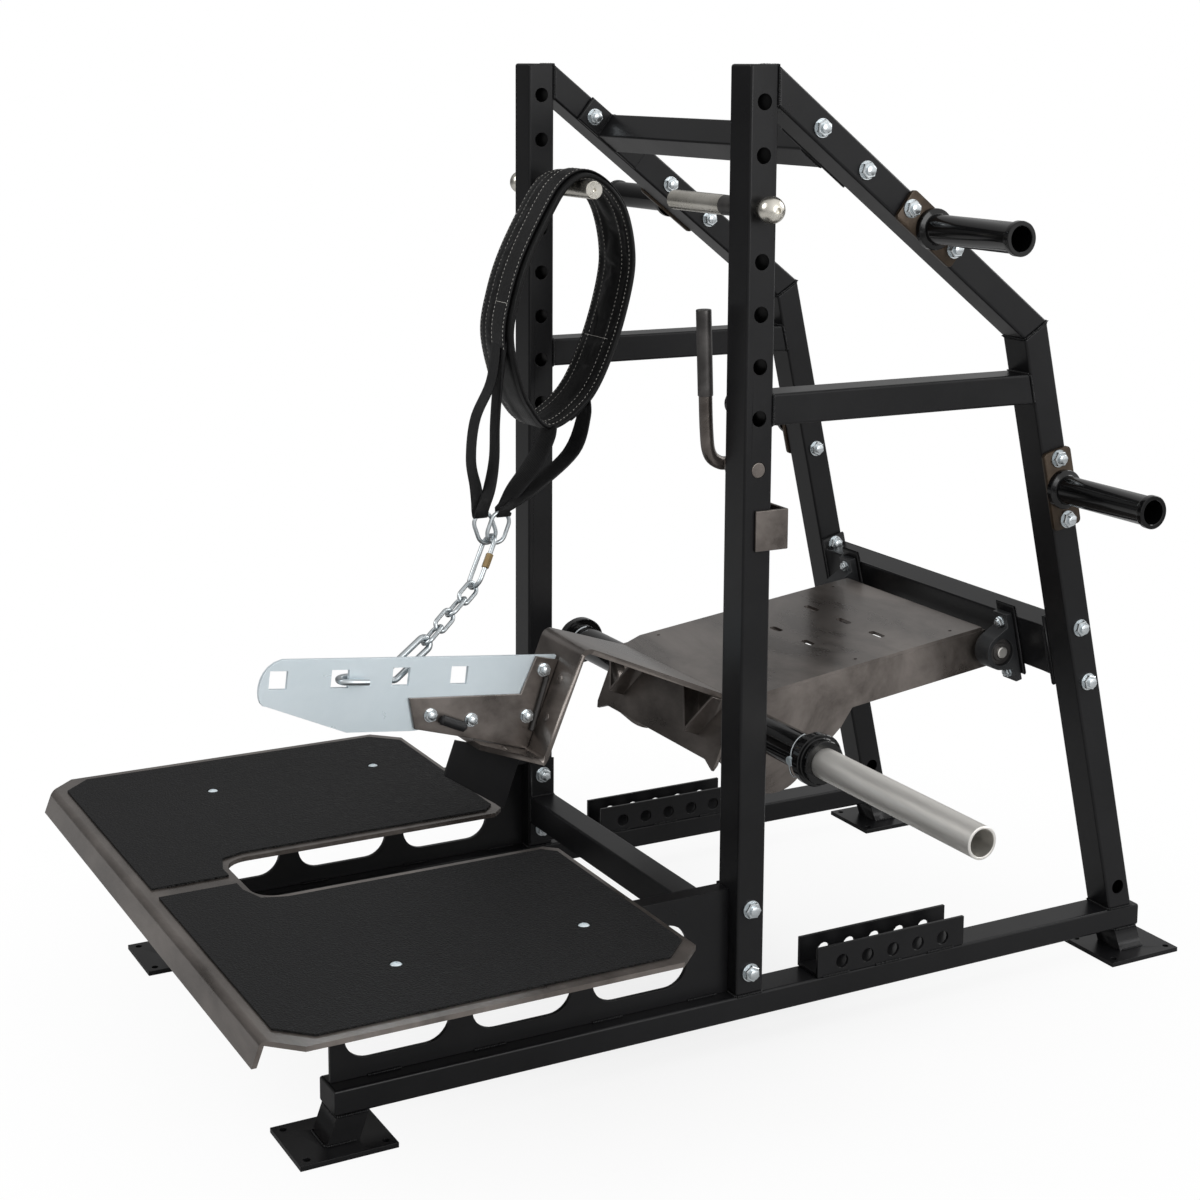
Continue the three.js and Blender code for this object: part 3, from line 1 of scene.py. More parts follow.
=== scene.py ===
# %% [markdown]
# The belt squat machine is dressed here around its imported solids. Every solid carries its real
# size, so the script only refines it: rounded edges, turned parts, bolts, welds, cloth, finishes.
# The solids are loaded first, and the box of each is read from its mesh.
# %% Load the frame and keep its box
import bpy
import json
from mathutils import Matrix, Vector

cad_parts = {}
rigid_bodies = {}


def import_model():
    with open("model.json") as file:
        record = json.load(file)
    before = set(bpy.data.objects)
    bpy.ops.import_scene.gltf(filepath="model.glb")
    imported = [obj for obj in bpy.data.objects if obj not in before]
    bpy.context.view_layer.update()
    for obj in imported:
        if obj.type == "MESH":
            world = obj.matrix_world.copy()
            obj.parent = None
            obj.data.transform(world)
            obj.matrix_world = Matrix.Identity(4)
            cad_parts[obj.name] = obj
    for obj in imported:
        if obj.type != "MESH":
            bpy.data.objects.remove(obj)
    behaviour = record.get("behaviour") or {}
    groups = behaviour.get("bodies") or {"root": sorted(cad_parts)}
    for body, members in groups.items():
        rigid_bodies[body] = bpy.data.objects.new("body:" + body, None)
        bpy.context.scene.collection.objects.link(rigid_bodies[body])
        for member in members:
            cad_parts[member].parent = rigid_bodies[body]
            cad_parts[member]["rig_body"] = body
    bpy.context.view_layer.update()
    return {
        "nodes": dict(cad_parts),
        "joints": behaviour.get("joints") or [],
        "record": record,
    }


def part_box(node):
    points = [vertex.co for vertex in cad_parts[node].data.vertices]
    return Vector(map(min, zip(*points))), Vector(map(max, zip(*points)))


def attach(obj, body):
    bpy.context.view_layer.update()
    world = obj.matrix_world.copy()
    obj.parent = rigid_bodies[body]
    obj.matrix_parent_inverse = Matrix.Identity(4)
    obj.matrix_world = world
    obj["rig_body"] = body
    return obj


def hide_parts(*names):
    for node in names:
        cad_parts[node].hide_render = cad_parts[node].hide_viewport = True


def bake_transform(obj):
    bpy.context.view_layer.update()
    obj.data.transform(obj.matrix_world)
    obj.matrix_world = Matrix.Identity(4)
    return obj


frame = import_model()

import bmesh
import bpy
import json
import math
from mathutils import Matrix, Vector

# %% [markdown]
# The sleeve on one side moves the middle of the box off the machine's own middle. Everything
# below is laid out about the plane of symmetry, and moved over by MIDDLE when it is placed.
# %% Plane of symmetry
MIDDLE = Vector(((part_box("upright_left")[0].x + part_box("upright_right")[1].x) / 2, 0.0, 0.0))


def box_of(node):
    return [Vector(corner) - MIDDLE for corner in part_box(node)]


print("plane of symmetry at x", round(MIDDLE.x, 4))

# %% [markdown]
# The camera stands where the photographer stood. Its place and turn come from the straight edges
# of the frame, and a lens shift stands for the crop of the picture.
# %% Camera
CAMERA_PLACE = Vector((3.1404, -1.7241, 1.5417))
CAMERA_TURN = math.radians(60.733)
CAMERA_DOWN = math.radians(8.818)
CAMERA_ROLL = math.radians(0.543)
SENSOR_WIDE, LENS_LONG = 36.0, 64.17          # millimetres
SHIFT_RIGHT, SHIFT_UP = -0.0425, -0.163       # shares of the picture's width


def place_camera():
    lens = bpy.data.cameras.new("studio_camera")
    lens.sensor_width, lens.lens = SENSOR_WIDE, LENS_LONG
    lens.shift_x, lens.shift_y = SHIFT_RIGHT, SHIFT_UP
    flat = math.cos(CAMERA_DOWN)
    ahead = Vector((-math.sin(CAMERA_TURN) * flat, math.cos(CAMERA_TURN) * flat, -math.sin(CAMERA_DOWN)))
    right = Vector((math.cos(CAMERA_TURN), math.sin(CAMERA_TURN), 0.0))
    up = right.cross(ahead)
    level_right = right * math.cos(CAMERA_ROLL) + up * math.sin(CAMERA_ROLL)
    level_up = up * math.cos(CAMERA_ROLL) - right * math.sin(CAMERA_ROLL)
    camera = bpy.data.objects.new("studio_camera", lens)
    camera.matrix_world = Matrix.Translation(CAMERA_PLACE + MIDDLE) @ Matrix(
        (level_right, level_up, -ahead)).transposed().to_4x4()
    bpy.context.scene.collection.objects.link(camera)
    bpy.context.scene.camera = camera
    return camera


print("camera", [round(value, 3) for value in place_camera().location])

# %% [markdown]
# Node trees are easier to read when one helper adds a node, sets it and links its inputs. Both
# the finishes and the geometry trees below are built with it.
# %% A helper that adds a node
def add(tree, kind, inputs=None, **settings):
    made = tree.nodes.new(kind)
    for key, value in settings.items():
        setattr(made, key, value)
    for key, value in (inputs or {}).items():
        if isinstance(value, bpy.types.NodeSocket):
            tree.links.new(value, made.inputs[key])
        else:
            made.inputs[key].default_value = value
    return made


def colour(red, green, blue):
    return (red, green, blue, 1.0)


print("helpers for node trees ready")

# %% [markdown]
# A studio floor is pale and has no edge. The disc keeps the machine's soft shadow near its
# middle, and further out the camera sees it fade into the white of the world. It throws back
# less light than it shows, because the undersides of the tubes are dark in the photograph.
# %% Floor
PAPER_SEEN, PAPER_BOUNCE = 0.9, 0.6
FADE_FROM, FADE_TO = -3.2, 1.5          # metres from the middle; the fade is well under way there
FLOOR_RADIUS, FLOOR_SIDES = 9.0, 96


def floor_finish():
    """White paper that fades into the background for the camera alone."""
    material = bpy.data.materials.new("studio_floor")
    material.use_nodes = True
    tree = material.node_tree
    tree.nodes.clear()
    place = add(tree, "ShaderNodeTexCoord").outputs["Object"]
    far = add(tree, "ShaderNodeVectorMath", {0: place}, operation="LENGTH").outputs["Value"]
    fade = add(tree, "ShaderNodeMapRange", {"Value": far, "From Min": FADE_FROM, "From Max": FADE_TO},
               interpolation_type="SMOOTHSTEP").outputs["Result"]
    seen = add(tree, "ShaderNodeLightPath").outputs["Is Camera Ray"]
    share = add(tree, "ShaderNodeMath", {0: fade, 1: seen}, operation="MULTIPLY").outputs[0]
    pale = add(tree, "ShaderNodeMapRange", {"Value": seen, "To Min": PAPER_BOUNCE, "To Max": PAPER_SEEN})
    matt = add(tree, "ShaderNodeBsdfDiffuse", {"Color": pale.outputs["Result"]}).outputs[0]
    white = add(tree, "ShaderNodeEmission", {"Color": colour(1, 1, 1), "Strength": 1.0}).outputs[0]
    mixed = add(tree, "ShaderNodeMixShader", {0: share, 1: matt, 2: white}).outputs[0]
    add(tree, "ShaderNodeOutputMaterial", {"Surface": mixed})
    return material


def lay_floor():
    ring = bmesh.new()
    bmesh.ops.create_circle(ring, cap_ends=True, segments=FLOOR_SIDES, radius=FLOOR_RADIUS)
    mesh = bpy.data.meshes.new("studio_floor")
    ring.to_mesh(mesh)
    mesh.transform(Matrix.Translation(MIDDLE))
    floor = bpy.data.objects.new("studio_floor", mesh)
    mesh.materials.append(floor_finish())
    bpy.context.scene.collection.objects.link(floor)


lay_floor()
print("floor laid")

# %% [markdown]
# A plain white world would light every face alike and make black paint look grey. So the camera
# sees white, but light and reflections come from a world that is bright on one side and dark on
# the other, which gives each face of a tube its own tone.
# %% World
BRIGHT_SIDE = (0.8, 0.5, 0.33)
WORLD_DARK, WORLD_BRIGHT = 0.08, 1.1
DIFFUSE_SHARE = 0.7          # the world lights matt surfaces less than it shows in shiny ones


def light_world():
    world = bpy.data.worlds.new("studio_world")
    bpy.context.scene.world = world
    world.use_nodes = True
    tree = world.node_tree
    tree.nodes.clear()
    toward = add(tree, "ShaderNodeTexCoord").outputs["Generated"]
    facing = add(tree, "ShaderNodeVectorMath", {0: toward, 1: BRIGHT_SIDE}, operation="DOT_PRODUCT")
    falls = add(tree, "ShaderNodeMapRange", {
        "Value": facing.outputs["Value"], "From Min": -1.0, "From Max": 1.0,
        "To Min": WORLD_DARK, "To Max": WORLD_BRIGHT}).outputs["Result"]
    path = add(tree, "ShaderNodeLightPath").outputs
    weaker = add(tree, "ShaderNodeMapRange", {
        "Value": path["Is Diffuse Ray"], "To Min": 1.0, "To Max": DIFFUSE_SHARE}).outputs["Result"]
    lit = add(tree, "ShaderNodeMath", {0: falls, 1: weaker}, operation="MULTIPLY").outputs[0]
    white = add(tree, "ShaderNodeMix", {"Factor": path["Is Camera Ray"], "A": lit, "B": 1.0}).outputs[0]
    back = add(tree, "ShaderNodeBackground", {"Color": colour(1, 1, 1), "Strength": white})
    add(tree, "ShaderNodeOutputWorld", {"Surface": back.outputs[0]})


light_world()
bpy.context.scene.view_settings.view_transform = "Standard"
print("world lit")

# %% [markdown]
# Three large soft lamps light the machine: one high in front of the deck, one on its right, and
# one behind that draws the bright lines along the tubes' edges.
# %% Lamps
LAMPS = (          # name, place, height of the aim, width, power
    ("key_lamp", (-0.8, -3.6, 3.4), 0.7, 2.4, 58),
    ("side_lamp", (4.2, 0.6, 2.2), 0.7, 2.6, 58),
    ("rear_lamp", (0.6, 3.8, 3.0), 0.8, 2.2, 40),
)


def hang_lamp(name, place, aim_height, width, power):
    lamp = bpy.data.lights.new(name, "AREA")
    lamp.shape, lamp.size, lamp.energy = "DISK", width, power
    made = bpy.data.objects.new(name, lamp)
    made.location = Vector(place) + MIDDLE
    toward = Vector((0, 0, aim_height)) - Vector(place)
    made.rotation_euler = toward.to_track_quat("-Z", "Y").to_euler()
    bpy.context.scene.collection.objects.link(made)


for lamp_row in LAMPS:
    hang_lamp(*lamp_row)
print(len(LAMPS), "lamps")

# %% [markdown]
# Most finishes here are one idea: a shader whose colour and roughness drift in soft patches, and
# a fine grain in its bump. Stretching the pattern turns patches into brushed or rolled streaks.
# %% A finish with patches and grain
CLOUDS = {"Detail": 7.0, "Roughness": 0.62, "Distortion": 0.4}
CLOUD_LOW, CLOUD_HIGH = 0.3, 0.7          # the noise rarely leaves this range
GRAIN_DETAIL, GRAIN_DEEP = 3.0, 0.001


def finish(name, dark, pale, rough, drift=0.05, patch=7.0, stretch=(1, 1, 1), grain=700.0,
           bump=0.06, grain_stretch=(1, 1, 1), spread=(0.36, 0.66), **sockets):
    """Other sockets of the shader are given by name, with _ for a space."""
    material = bpy.data.materials.new(name)
    material.use_nodes = True
    tree = material.node_tree
    shader = tree.nodes["Principled BSDF"]
    place = add(tree, "ShaderNodeTexCoord").outputs["Object"]
    wide = add(tree, "ShaderNodeMapping", {"Vector": place, "Scale": stretch}).outputs[0]
    patches = add(tree, "ShaderNodeTexNoise", {"Vector": wide, "Scale": patch, **CLOUDS}).outputs["Fac"]
    ramp = add(tree, "ShaderNodeValToRGB", {"Fac": patches})
    for element, place_on, tone in zip(ramp.color_ramp.elements, spread, (dark, pale)):
        element.position, element.color = place_on, colour(*tone)
    tree.links.new(ramp.outputs["Color"], shader.inputs["Base Color"])
    worn = add(tree, "ShaderNodeMapRange", {
        "Value": patches, "From Min": CLOUD_LOW, "From Max": CLOUD_HIGH,
        "To Min": rough - drift, "To Max": rough + drift})
    tree.links.new(worn.outputs["Result"], shader.inputs["Roughness"])
    close = add(tree, "ShaderNodeMapping", {"Vector": place, "Scale": grain_stretch}).outputs[0]
    fine = add(tree, "ShaderNodeTexNoise", {
        "Vector": close, "Scale": grain, "Detail": GRAIN_DETAIL}).outputs["Fac"]
    relief = add(tree, "ShaderNodeBump", {"Height": fine, "Strength": bump, "Distance": GRAIN_DEEP})
    tree.links.new(relief.outputs["Normal"], shader.inputs["Normal"])
    for key, value in sockets.items():
        shader.inputs[key.replace("_", " ")].default_value = value
    return material


print("finish helper ready")

# %% [markdown]
# The frame is powder coated: satin black with a faint orange peel. The storage horns are gloss
# black, and their plates have a thin bronze-brown coat that lets the steel through.
# %% Painted finishes
powder_coat = finish("powder_coat", (0.006, 0.006, 0.0066), (0.009, 0.009, 0.0098), 0.31, 0.04,
                     patch=5.0, grain=480.0, bump=0.05, Specular_IOR_Level=0.25)
horn_gloss = finish("horn_gloss", (0.002, 0.002, 0.0022), (0.004, 0.004, 0.0043), 0.13, 0.03, bump=0.02,
                    Coat_Weight=0.2, Specular_IOR_Level=0.28)
bronze_coat = finish("bronze_coat", (0.028, 0.018, 0.01), (0.06, 0.04, 0.024), 0.34, 0.06, patch=30.0,
                     Metallic=0.5)
cast_paint = finish("cast_paint", (0.012, 0.013, 0.014), (0.022, 0.023, 0.025), 0.4, 0.05, grain=350.0,
                    bump=0.3)
print("painted finishes made")

# %% [markdown]
# Deck and lever are bare rolled plate under clear coat: grey-brown, with cloudy heat tint and
# rolling streaks along the sheet. Zinc plate is pale and bluish, turned steel is neutral. The
# chain has no grain: on so thin a wire it would only make the highlight flicker.
# %% Bare and plated metals
raw_plate = finish("raw_plate", (0.085, 0.072, 0.064), (0.25, 0.222, 0.203), 0.31, 0.08, patch=4.5,
                   stretch=(0.7, 1.6, 1.6), grain=260.0, bump=0.09, grain_stretch=(0.3, 2, 2),
                   Metallic=0.8, Coat_Weight=0.3, Coat_Roughness=0.15)
dark_edge = finish("dark_edge", (0.05, 0.047, 0.046), (0.1, 0.095, 0.092), 0.42, 0.08, patch=22.0,
                   Metallic=0.7)
zinc = finish("zinc", (0.78, 0.88, 0.93), (0.86, 0.95, 1.0), 0.3, 0.03, patch=5.0, grain=500.0,
              bump=0.03, Metallic=0.32)
bolt_zinc = finish("bolt_zinc", (0.56, 0.6, 0.62), (0.72, 0.76, 0.78), 0.26, 0.04, patch=20.0, bump=0.02,
                   Metallic=0.95)
chain_zinc = finish("chain_zinc", (0.5, 0.54, 0.56), (0.6, 0.64, 0.66), 0.31, 0.03, patch=12.0, bump=0.0,
                    Metallic=1.0)
turned_steel = finish("turned_steel", (0.78, 0.76, 0.72), (0.9, 0.88, 0.84), 0.38, 0.07, patch=3.0,
                      stretch=(0.6, 6, 6), grain=260.0, grain_stretch=(1, 14, 14), bump=0.02,
                      Metallic=0.85)
nickel = finish("nickel", (0.68, 0.65, 0.58), (0.82, 0.79, 0.72), 0.27, 0.03, patch=20.0, bump=0.02,
                Metallic=1.0)
brass = finish("brass", (0.3, 0.21, 0.1), (0.42, 0.31, 0.17), 0.3, 0.05, patch=40.0, Metallic=0.9)
print("metal finishes made")

# %% [markdown]
# A rubber mat has a pebbled grain. Cells of a Voronoi texture give it round pebbles that a noise
# texture can't, and because they are only a bump the mat stays a plain sheet.
# %% Mat rubber
PEBBLES, PEBBLE_DEEP = 300.0, 0.002


def mat_finish():
    material = finish("mat_rubber", (0.004, 0.004, 0.0044), (0.0085, 0.0085, 0.009), 0.62, 0.08, patch=60.0,
                      Specular_IOR_Level=0.24)
    tree = material.node_tree
    shader = tree.nodes["Principled BSDF"]
    place = add(tree, "ShaderNodeTexCoord").outputs["Object"]
    pebbles = add(tree, "ShaderNodeTexVoronoi", {"Vector": place, "Scale": PEBBLES}).outputs["Distance"]
    relief = add(tree, "ShaderNodeBump", {"Height": pebbles, "Strength": 1.0, "Distance": PEBBLE_DEEP})
    tree.links.new(relief.outputs["Normal"], shader.inputs["Normal"])
    return material


mat_rubber = mat_finish()
print("mat rubber made")

# %% [markdown]
# Woven cloth has a rib across the strap and threads along it. Two wave textures on the strap's
# own map make them, so that the weave bends with the cloth instead of standing still in space.
# %% Webbing, thread and rubber
THREAD_SHARE = 0.7          # threads along the strap for each rib across it
WEAVE_DEEP = 0.0006


def webbing_finish(name, dark, pale, rough, rib, strength):
    material = finish(name, dark, pale, rough, 0.05, patch=40.0, Specular_IOR_Level=0.2,
                      Sheen_Weight=0.03, Sheen_Roughness=0.4)
    tree = material.node_tree
    shader = tree.nodes["Principled BSDF"]
    along = add(tree, "ShaderNodeUVMap", uv_map="strap_map").outputs["UV"]
    ribs = add(tree, "ShaderNodeTexWave", {"Vector": along, "Scale": rib, "Distortion": 0.6, "Detail": 1.0},
               bands_direction="X").outputs["Fac"]
    threads = add(tree, "ShaderNodeTexWave", {
        "Vector": along, "Scale": rib * THREAD_SHARE, "Distortion": 0.3}, bands_direction="Y").outputs["Fac"]
    weave = add(tree, "ShaderNodeMath", {0: ribs, 1: threads}, operation="ADD").outputs[0]
    relief = add(tree, "ShaderNodeBump", {"Height": weave, "Strength": strength, "Distance": WEAVE_DEEP})
    tree.links.new(relief.outputs["Normal"], shader.inputs["Normal"])
    return material


band_cloth = webbing_finish("band_cloth", (0.003, 0.003, 0.0032), (0.0052, 0.0052, 0.0054),
                            rough=0.44, rib=300.0, strength=0.2)
strap_webbing = webbing_finish("strap_webbing", (0.0034, 0.0034, 0.0036), (0.0075, 0.0075, 0.008),
                               rough=0.42, rib=160.0, strength=0.5)
thread = finish("thread", (0.58, 0.56, 0.52), (0.74, 0.72, 0.68), 0.7, 0.05, patch=80.0)
bumper_rubber = finish("bumper_rubber", (0.008, 0.008, 0.009), (0.015, 0.015, 0.016), 0.55, 0.08)
print("cloth, thread and bumper finishes made")

# %% [markdown]
# A real sheet or tube has no knife edge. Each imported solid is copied, its loose triangles are
# merged into clean faces, its long edges get the radius of rolled tube and the rest a small one.
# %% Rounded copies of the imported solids
SLOTS = {part["node"]: part["material_slot"] for part in frame["record"]["subparts"]}
SHARP = math.radians(34)             # an edge that turns more than this is a corner
LONG_EDGE, ANY_LENGTH = 0.045, 9.0   # a tube's edges are longer than the first, none is than the second


def soften(form, edges, radius, steps, clamp=True):
    """Bevels the edges; clamp keeps the rounding off neighbours that are too close."""
    if edges and radius:
        bmesh.ops.bevel(form, geom=edges, offset=radius, segments=steps, profile=0.5, affect="EDGES",
                        clamp_overlap=clamp)


def cornered(form, shortest, longest):
    """The outer corners of a form, as long as the two lengths say."""
    return [edge for edge in form.edges if len(edge.link_faces) == 2 and edge.is_convex
            and shortest <= edge.calc_length() < longest and edge.calc_face_angle(0.0) > SHARP]


def shade(mesh, angle=SHARP):
    """Smooth shading that stops at sharp edges."""
    mesh.polygons.foreach_set("use_smooth", [True] * len(mesh.polygons))
    mesh.set_sharp_from_angle(angle=angle)


def flatten_shading(mesh):
    """Gives the shading to the large faces, so that a plate stays flat between its rounded edges."""
    holder = bpy.data.objects.new("holder", mesh)
    bpy.context.scene.collection.objects.link(holder)
    weights = holder.modifiers.new("weights", "WEIGHTED_NORMAL")
    weights.keep_sharp = True
    weights.weight = 100
    view = bpy.context.evaluated_depsgraph_get()
    done = bpy.data.meshes.new_from_object(holder.evaluated_get(view), preserve_all_data_layers=True,
                                           depsgraph=view)
    done.name = mesh.name
    bpy.data.objects.remove(holder)
    return done


def settle(name, mesh, material, body, slot, *nodes):
    """Puts a finished mesh in the scene: its finish, its body and what it stands for; the slot is not used.
    """
    if material:
        mesh.materials.clear()
        mesh.materials.append(material)
    mesh.transform(Matrix.Translation(MIDDLE))
    made = bpy.data.objects.new(name, mesh)
    bpy.context.scene.collection.objects.link(made)
    if body:
        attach(made, body)
    if nodes:
        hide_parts(*nodes)
    return made


def bend_edges(form, y, z, reach=0.0015):
    """The edges along X that run through a place seen from the side."""
    return [edge for edge in form.edges if len(edge.link_faces) == 2 and edge.calc_face_angle(0.0) > SHARP
            and all(math.hypot(vert.co.y - y, vert.co.z - z) < reach for vert in edge.verts)]


def drilled(mesh, holes, depth=0.022, sides=40):
    """Cuts blind holes along X; each is given by its middle on the face and its radius."""
    tool = bmesh.new()
    for place, radius in holes:
        turn = Matrix.Translation(place) @ Matrix.Rotation(math.radians(90), 4, "Y")
        bmesh.ops.create_cone(tool, cap_ends=True, segments=sides, radius1=radius, radius2=radius,
                              depth=2 * depth, matrix=turn)
    drill_mesh = bpy.data.meshes.new("drill")
    tool.to_mesh(drill_mesh)
    drill, holder = bpy.data.objects.new("drill", drill_mesh), bpy.data.objects.new("holder", mesh)
    for made in (drill, holder):
        bpy.context.scene.collection.objects.link(made)
    cutter = holder.modifiers.new("cut", "BOOLEAN")
    cutter.object, cutter.operation, cutter.solver = drill, "DIFFERENCE", "EXACT"
    view = bpy.context.evaluated_depsgraph_get()
    done = bpy.data.meshes.new_from_object(holder.evaluated_get(view), depsgraph=view)
    bpy.data.objects.remove(drill)
    bpy.data.objects.remove(holder)
    return done


SAME_PLACE, SAME_PLANE = 0.00002, math.radians(0.6)
BEND_STEPS, TUBE_STEPS, FINE_STEPS = 6, 3, 2
ROUND_SHADE = math.radians(50)


def round_off(node, material, tube=0.0, fine=0.0008, bends=(), holes=()):
    """Copies a solid and rounds its bends, its tube edges and its other corners."""
    source = frame["nodes"][node]
    form = bmesh.new()
    form.from_mesh(source.data)
    bmesh.ops.translate(form, vec=-MIDDLE, verts=form.verts)
    bmesh.ops.remove_doubles(form, verts=form.verts, dist=SAME_PLACE)
    bmesh.ops.dissolve_limit(form, angle_limit=SAME_PLANE, verts=form.verts, edges=form.edges)
    for y, z, radius in bends:
        soften(form, bend_edges(form, y, z), radius, BEND_STEPS, clamp=False)
    if tube:
        soften(form, cornered(form, LONG_EDGE, ANY_LENGTH), tube, TUBE_STEPS, clamp=False)
    soften(form, cornered(form, 0.0, LONG_EDGE if tube else ANY_LENGTH), fine, FINE_STEPS)
    mesh = bpy.data.meshes.new(node + "_shape")
    form.to_mesh(mesh)
    if holes:
        mesh = drilled(mesh, holes)
    shade(mesh, ROUND_SHADE)
    mesh = flatten_shading(mesh)
    return settle(node + "_shape", mesh, material, source["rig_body"], SLOTS[node], node)


print(len(SLOTS), "slots read")

# %% [markdown]
# The frame is welded from square tube, whose long edges are rolled round; laser-cut plates have
# only a broken edge. Each rear leg also has a hole near its foot, which the solid leaves out.
# %% Frame tubes and plates
SIDES = (("left", -1.0), ("right", 1.0))
TUBE_RADIUS, BEAM_RADIUS, PLATE_EDGE, FIN_EDGE = 0.0045, 0.0035, 0.0015, 0.001
LEG_HOLE_Y, LEG_HOLE_Z, LEG_HOLE_RADIUS = 0.7615, 0.13, 0.0127
LEG_FACES = (0.346, 0.406)

for side_name, side in SIDES:
    for part in ("rail", "upright", "sloping_tube", "side_brace"):
        round_off(f"{part}_{side_name}", powder_coat, TUBE_RADIUS)
    leg_holes = [(Vector((side * x, LEG_HOLE_Y, LEG_HOLE_Z)), LEG_HOLE_RADIUS) for x in LEG_FACES]
    round_off(f"rear_leg_{side_name}", powder_coat, TUBE_RADIUS, holes=leg_holes)
    for part in ("foot_front", "foot_rear", "side_plate", "peg_channel"):
        round_off(f"{part}_{side_name}", powder_coat, fine=PLATE_EDGE)
for part in ("top_beam", "rear_beam", "low_beam"):
    round_off(part, powder_coat, BEAM_RADIUS)
round_off("stop_fin", powder_coat, fine=FIN_EDGE)
print("frame rounded off")

# %% [markdown]
# The deck and the lever are laser-cut plate: only a small rounding catches the light. The deck's
# front lip was folded down on a press brake, so its bend gets a real radius on both faces.
# %% Deck, mats and lever plates
DECK_BENDS = ((-0.8625, 0.27, 0.009), (-0.8577, 0.2625, 0.0035))          # y, z, radius: outside, inside
DECK_EDGE, MAT_EDGE, LEVER_EDGE, TONGUE_EDGE = 0.0016, 0.001, 0.0012, 0.0009

round_off("deck", raw_plate, fine=DECK_EDGE, bends=DECK_BENDS)
for side_name, side in SIDES:
    round_off(f"mat_{side_name}", mat_rubber, fine=MAT_EDGE)
    round_off(f"arm_side_{side_name}", raw_plate, fine=LEVER_EDGE)
for part in ("arm_top", "arm_front", "tongue_bracket"):
    round_off(part, raw_plate, fine=LEVER_EDGE)
round_off("tongue", zinc, fine=TONGUE_EDGE)
round_off("release_saddle", raw_plate, fine=PLATE_EDGE)
print("plates rounded off")

# %% [markdown]
# Round parts were turned on a lathe, so each is a profile spun about its own line: the plate
# sleeve, its socket, the storage horns, the hand pegs with their balls, shaft ends and bearings.
# %% A lathe for round parts
def spun(profile, start, along, sides=72, closed=False):
    """Spins (distance, radius) pairs about the line that leaves start in the direction along."""
    along = Vector(along).normalized()
    across = along.orthogonal().normalized()
    upright = along.cross(across)
    form = bmesh.new()
    rings = []
    for distance, radius in profile:
        middle = Vector(start) + along * distance
        if radius <= 0.0:
            rings.append([form.verts.new(middle)])
            continue
        rings.append([form.verts.new(middle + (across * math.cos(turn) + upright * math.sin(turn)) * radius)
                      for turn in (2 * math.pi * i / sides for i in range(sides))])
    pairs = list(zip(rings, rings[1:])) + ([(rings[-1], rings[0])] if closed else [])
    for low, high in pairs:
        for i in range(sides):
            around = ((low, i), (low, i + 1), (high, i + 1), (high, i))
            corners = [ring[place % len(ring)] for ring, place in around]
            form.faces.new(list(dict.fromkeys(corners)))
    bmesh.ops.recalc_face_normals(form, faces=form.faces)
    return form


def to_mesh(form, name, angle=SHARP):
    mesh = bpy.data.meshes.new(name)
    form.to_mesh(mesh)
    form.free()
    shade(mesh, angle)
    return mesh


def joined(name, parts, angle=SHARP):
    """One mesh from several forms, each with its own finish."""
    whole = bmesh.new()
    finishes = []
    for form, material in parts:
        if material not in finishes:
            finishes.append(material)
        for face in form.faces:
            face.material_index = finishes.index(material)
        piece = bpy.data.meshes.new("part")
        form.to_mesh(piece)
        whole.from_mesh(piece)
        bpy.data.meshes.remove(piece)
    mesh = to_mesh(whole, name, angle)
    for material in finishes:
        mesh.materials.append(material)
    return mesh


MOST_OF_A_SIDE = 0.4


def rounded(profile, radius=0.001):
    """Cuts each corner of a profile, so that every turned edge catches a line of light."""
    cut = [profile[0]]
    for before, corner, after in zip(profile, profile[1:], profile[2:]):
        for end in (before, after):
            span = math.dist(corner, end)
            share = min(radius / span, MOST_OF_A_SIDE) if span else 0.0
            cut.append(tuple(c + (e - c) * share for c, e in zip(corner, end)))
    return cut + [profile[-1]]


print("lathe ready")

# %% [markdown]
# A horn is a pipe with a thicker lip at its mouth, on a collar and a bronze-brown bolted plate.
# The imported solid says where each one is; its line runs out along X from the frame's face.
# %% Storage horns
SLOPE_FALL = math.radians(37.81)          # the sloping tube, down from level
SLOPE_TILT = math.radians(90) - SLOPE_FALL
LEG_TILT = math.radians(12.88)            # the rear leg, off upright
PLATE_SIZE, PLATE_CORNER = (0.008, 0.057, 0.137), 0.008
FLANGE_RADIUS, FLANGE_END = 0.033, 0.018
PIPE_BORE, PIPE_RADIUS, PIPE_FLOOR = 0.0195, 0.024, 0.012
LIP_RADIUS, LIP_LONG, LIP_TAPER = 0.027, 0.011, 0.003


def middle_of(node):
    low, high = box_of(node)
    return (low + high) / 2


def tilted_plate(centre, side, size, tilt, face, rounding):
    """A plate that stands against a face of the frame and leans with its tube."""
    thick = size[0]
    form = bmesh.new()
    bmesh.ops.create_cube(form, size=1.0)
    bmesh.ops.scale(form, vec=size, verts=form.verts)
    posts = [edge for edge in form.edges if abs((edge.verts[0].co - edge.verts[1].co).x) > thick / 2]
    soften(form, posts, rounding, 4)
    soften(form, cornered(form, 0.0, ANY_LENGTH), FIN_EDGE, FINE_STEPS)
    turn = Matrix.Rotation(tilt, 4, "X")
    place = Vector((side * (face + thick / 2), centre.y, centre.z))
    form.transform(Matrix.Translation(place) @ turn)
    return form


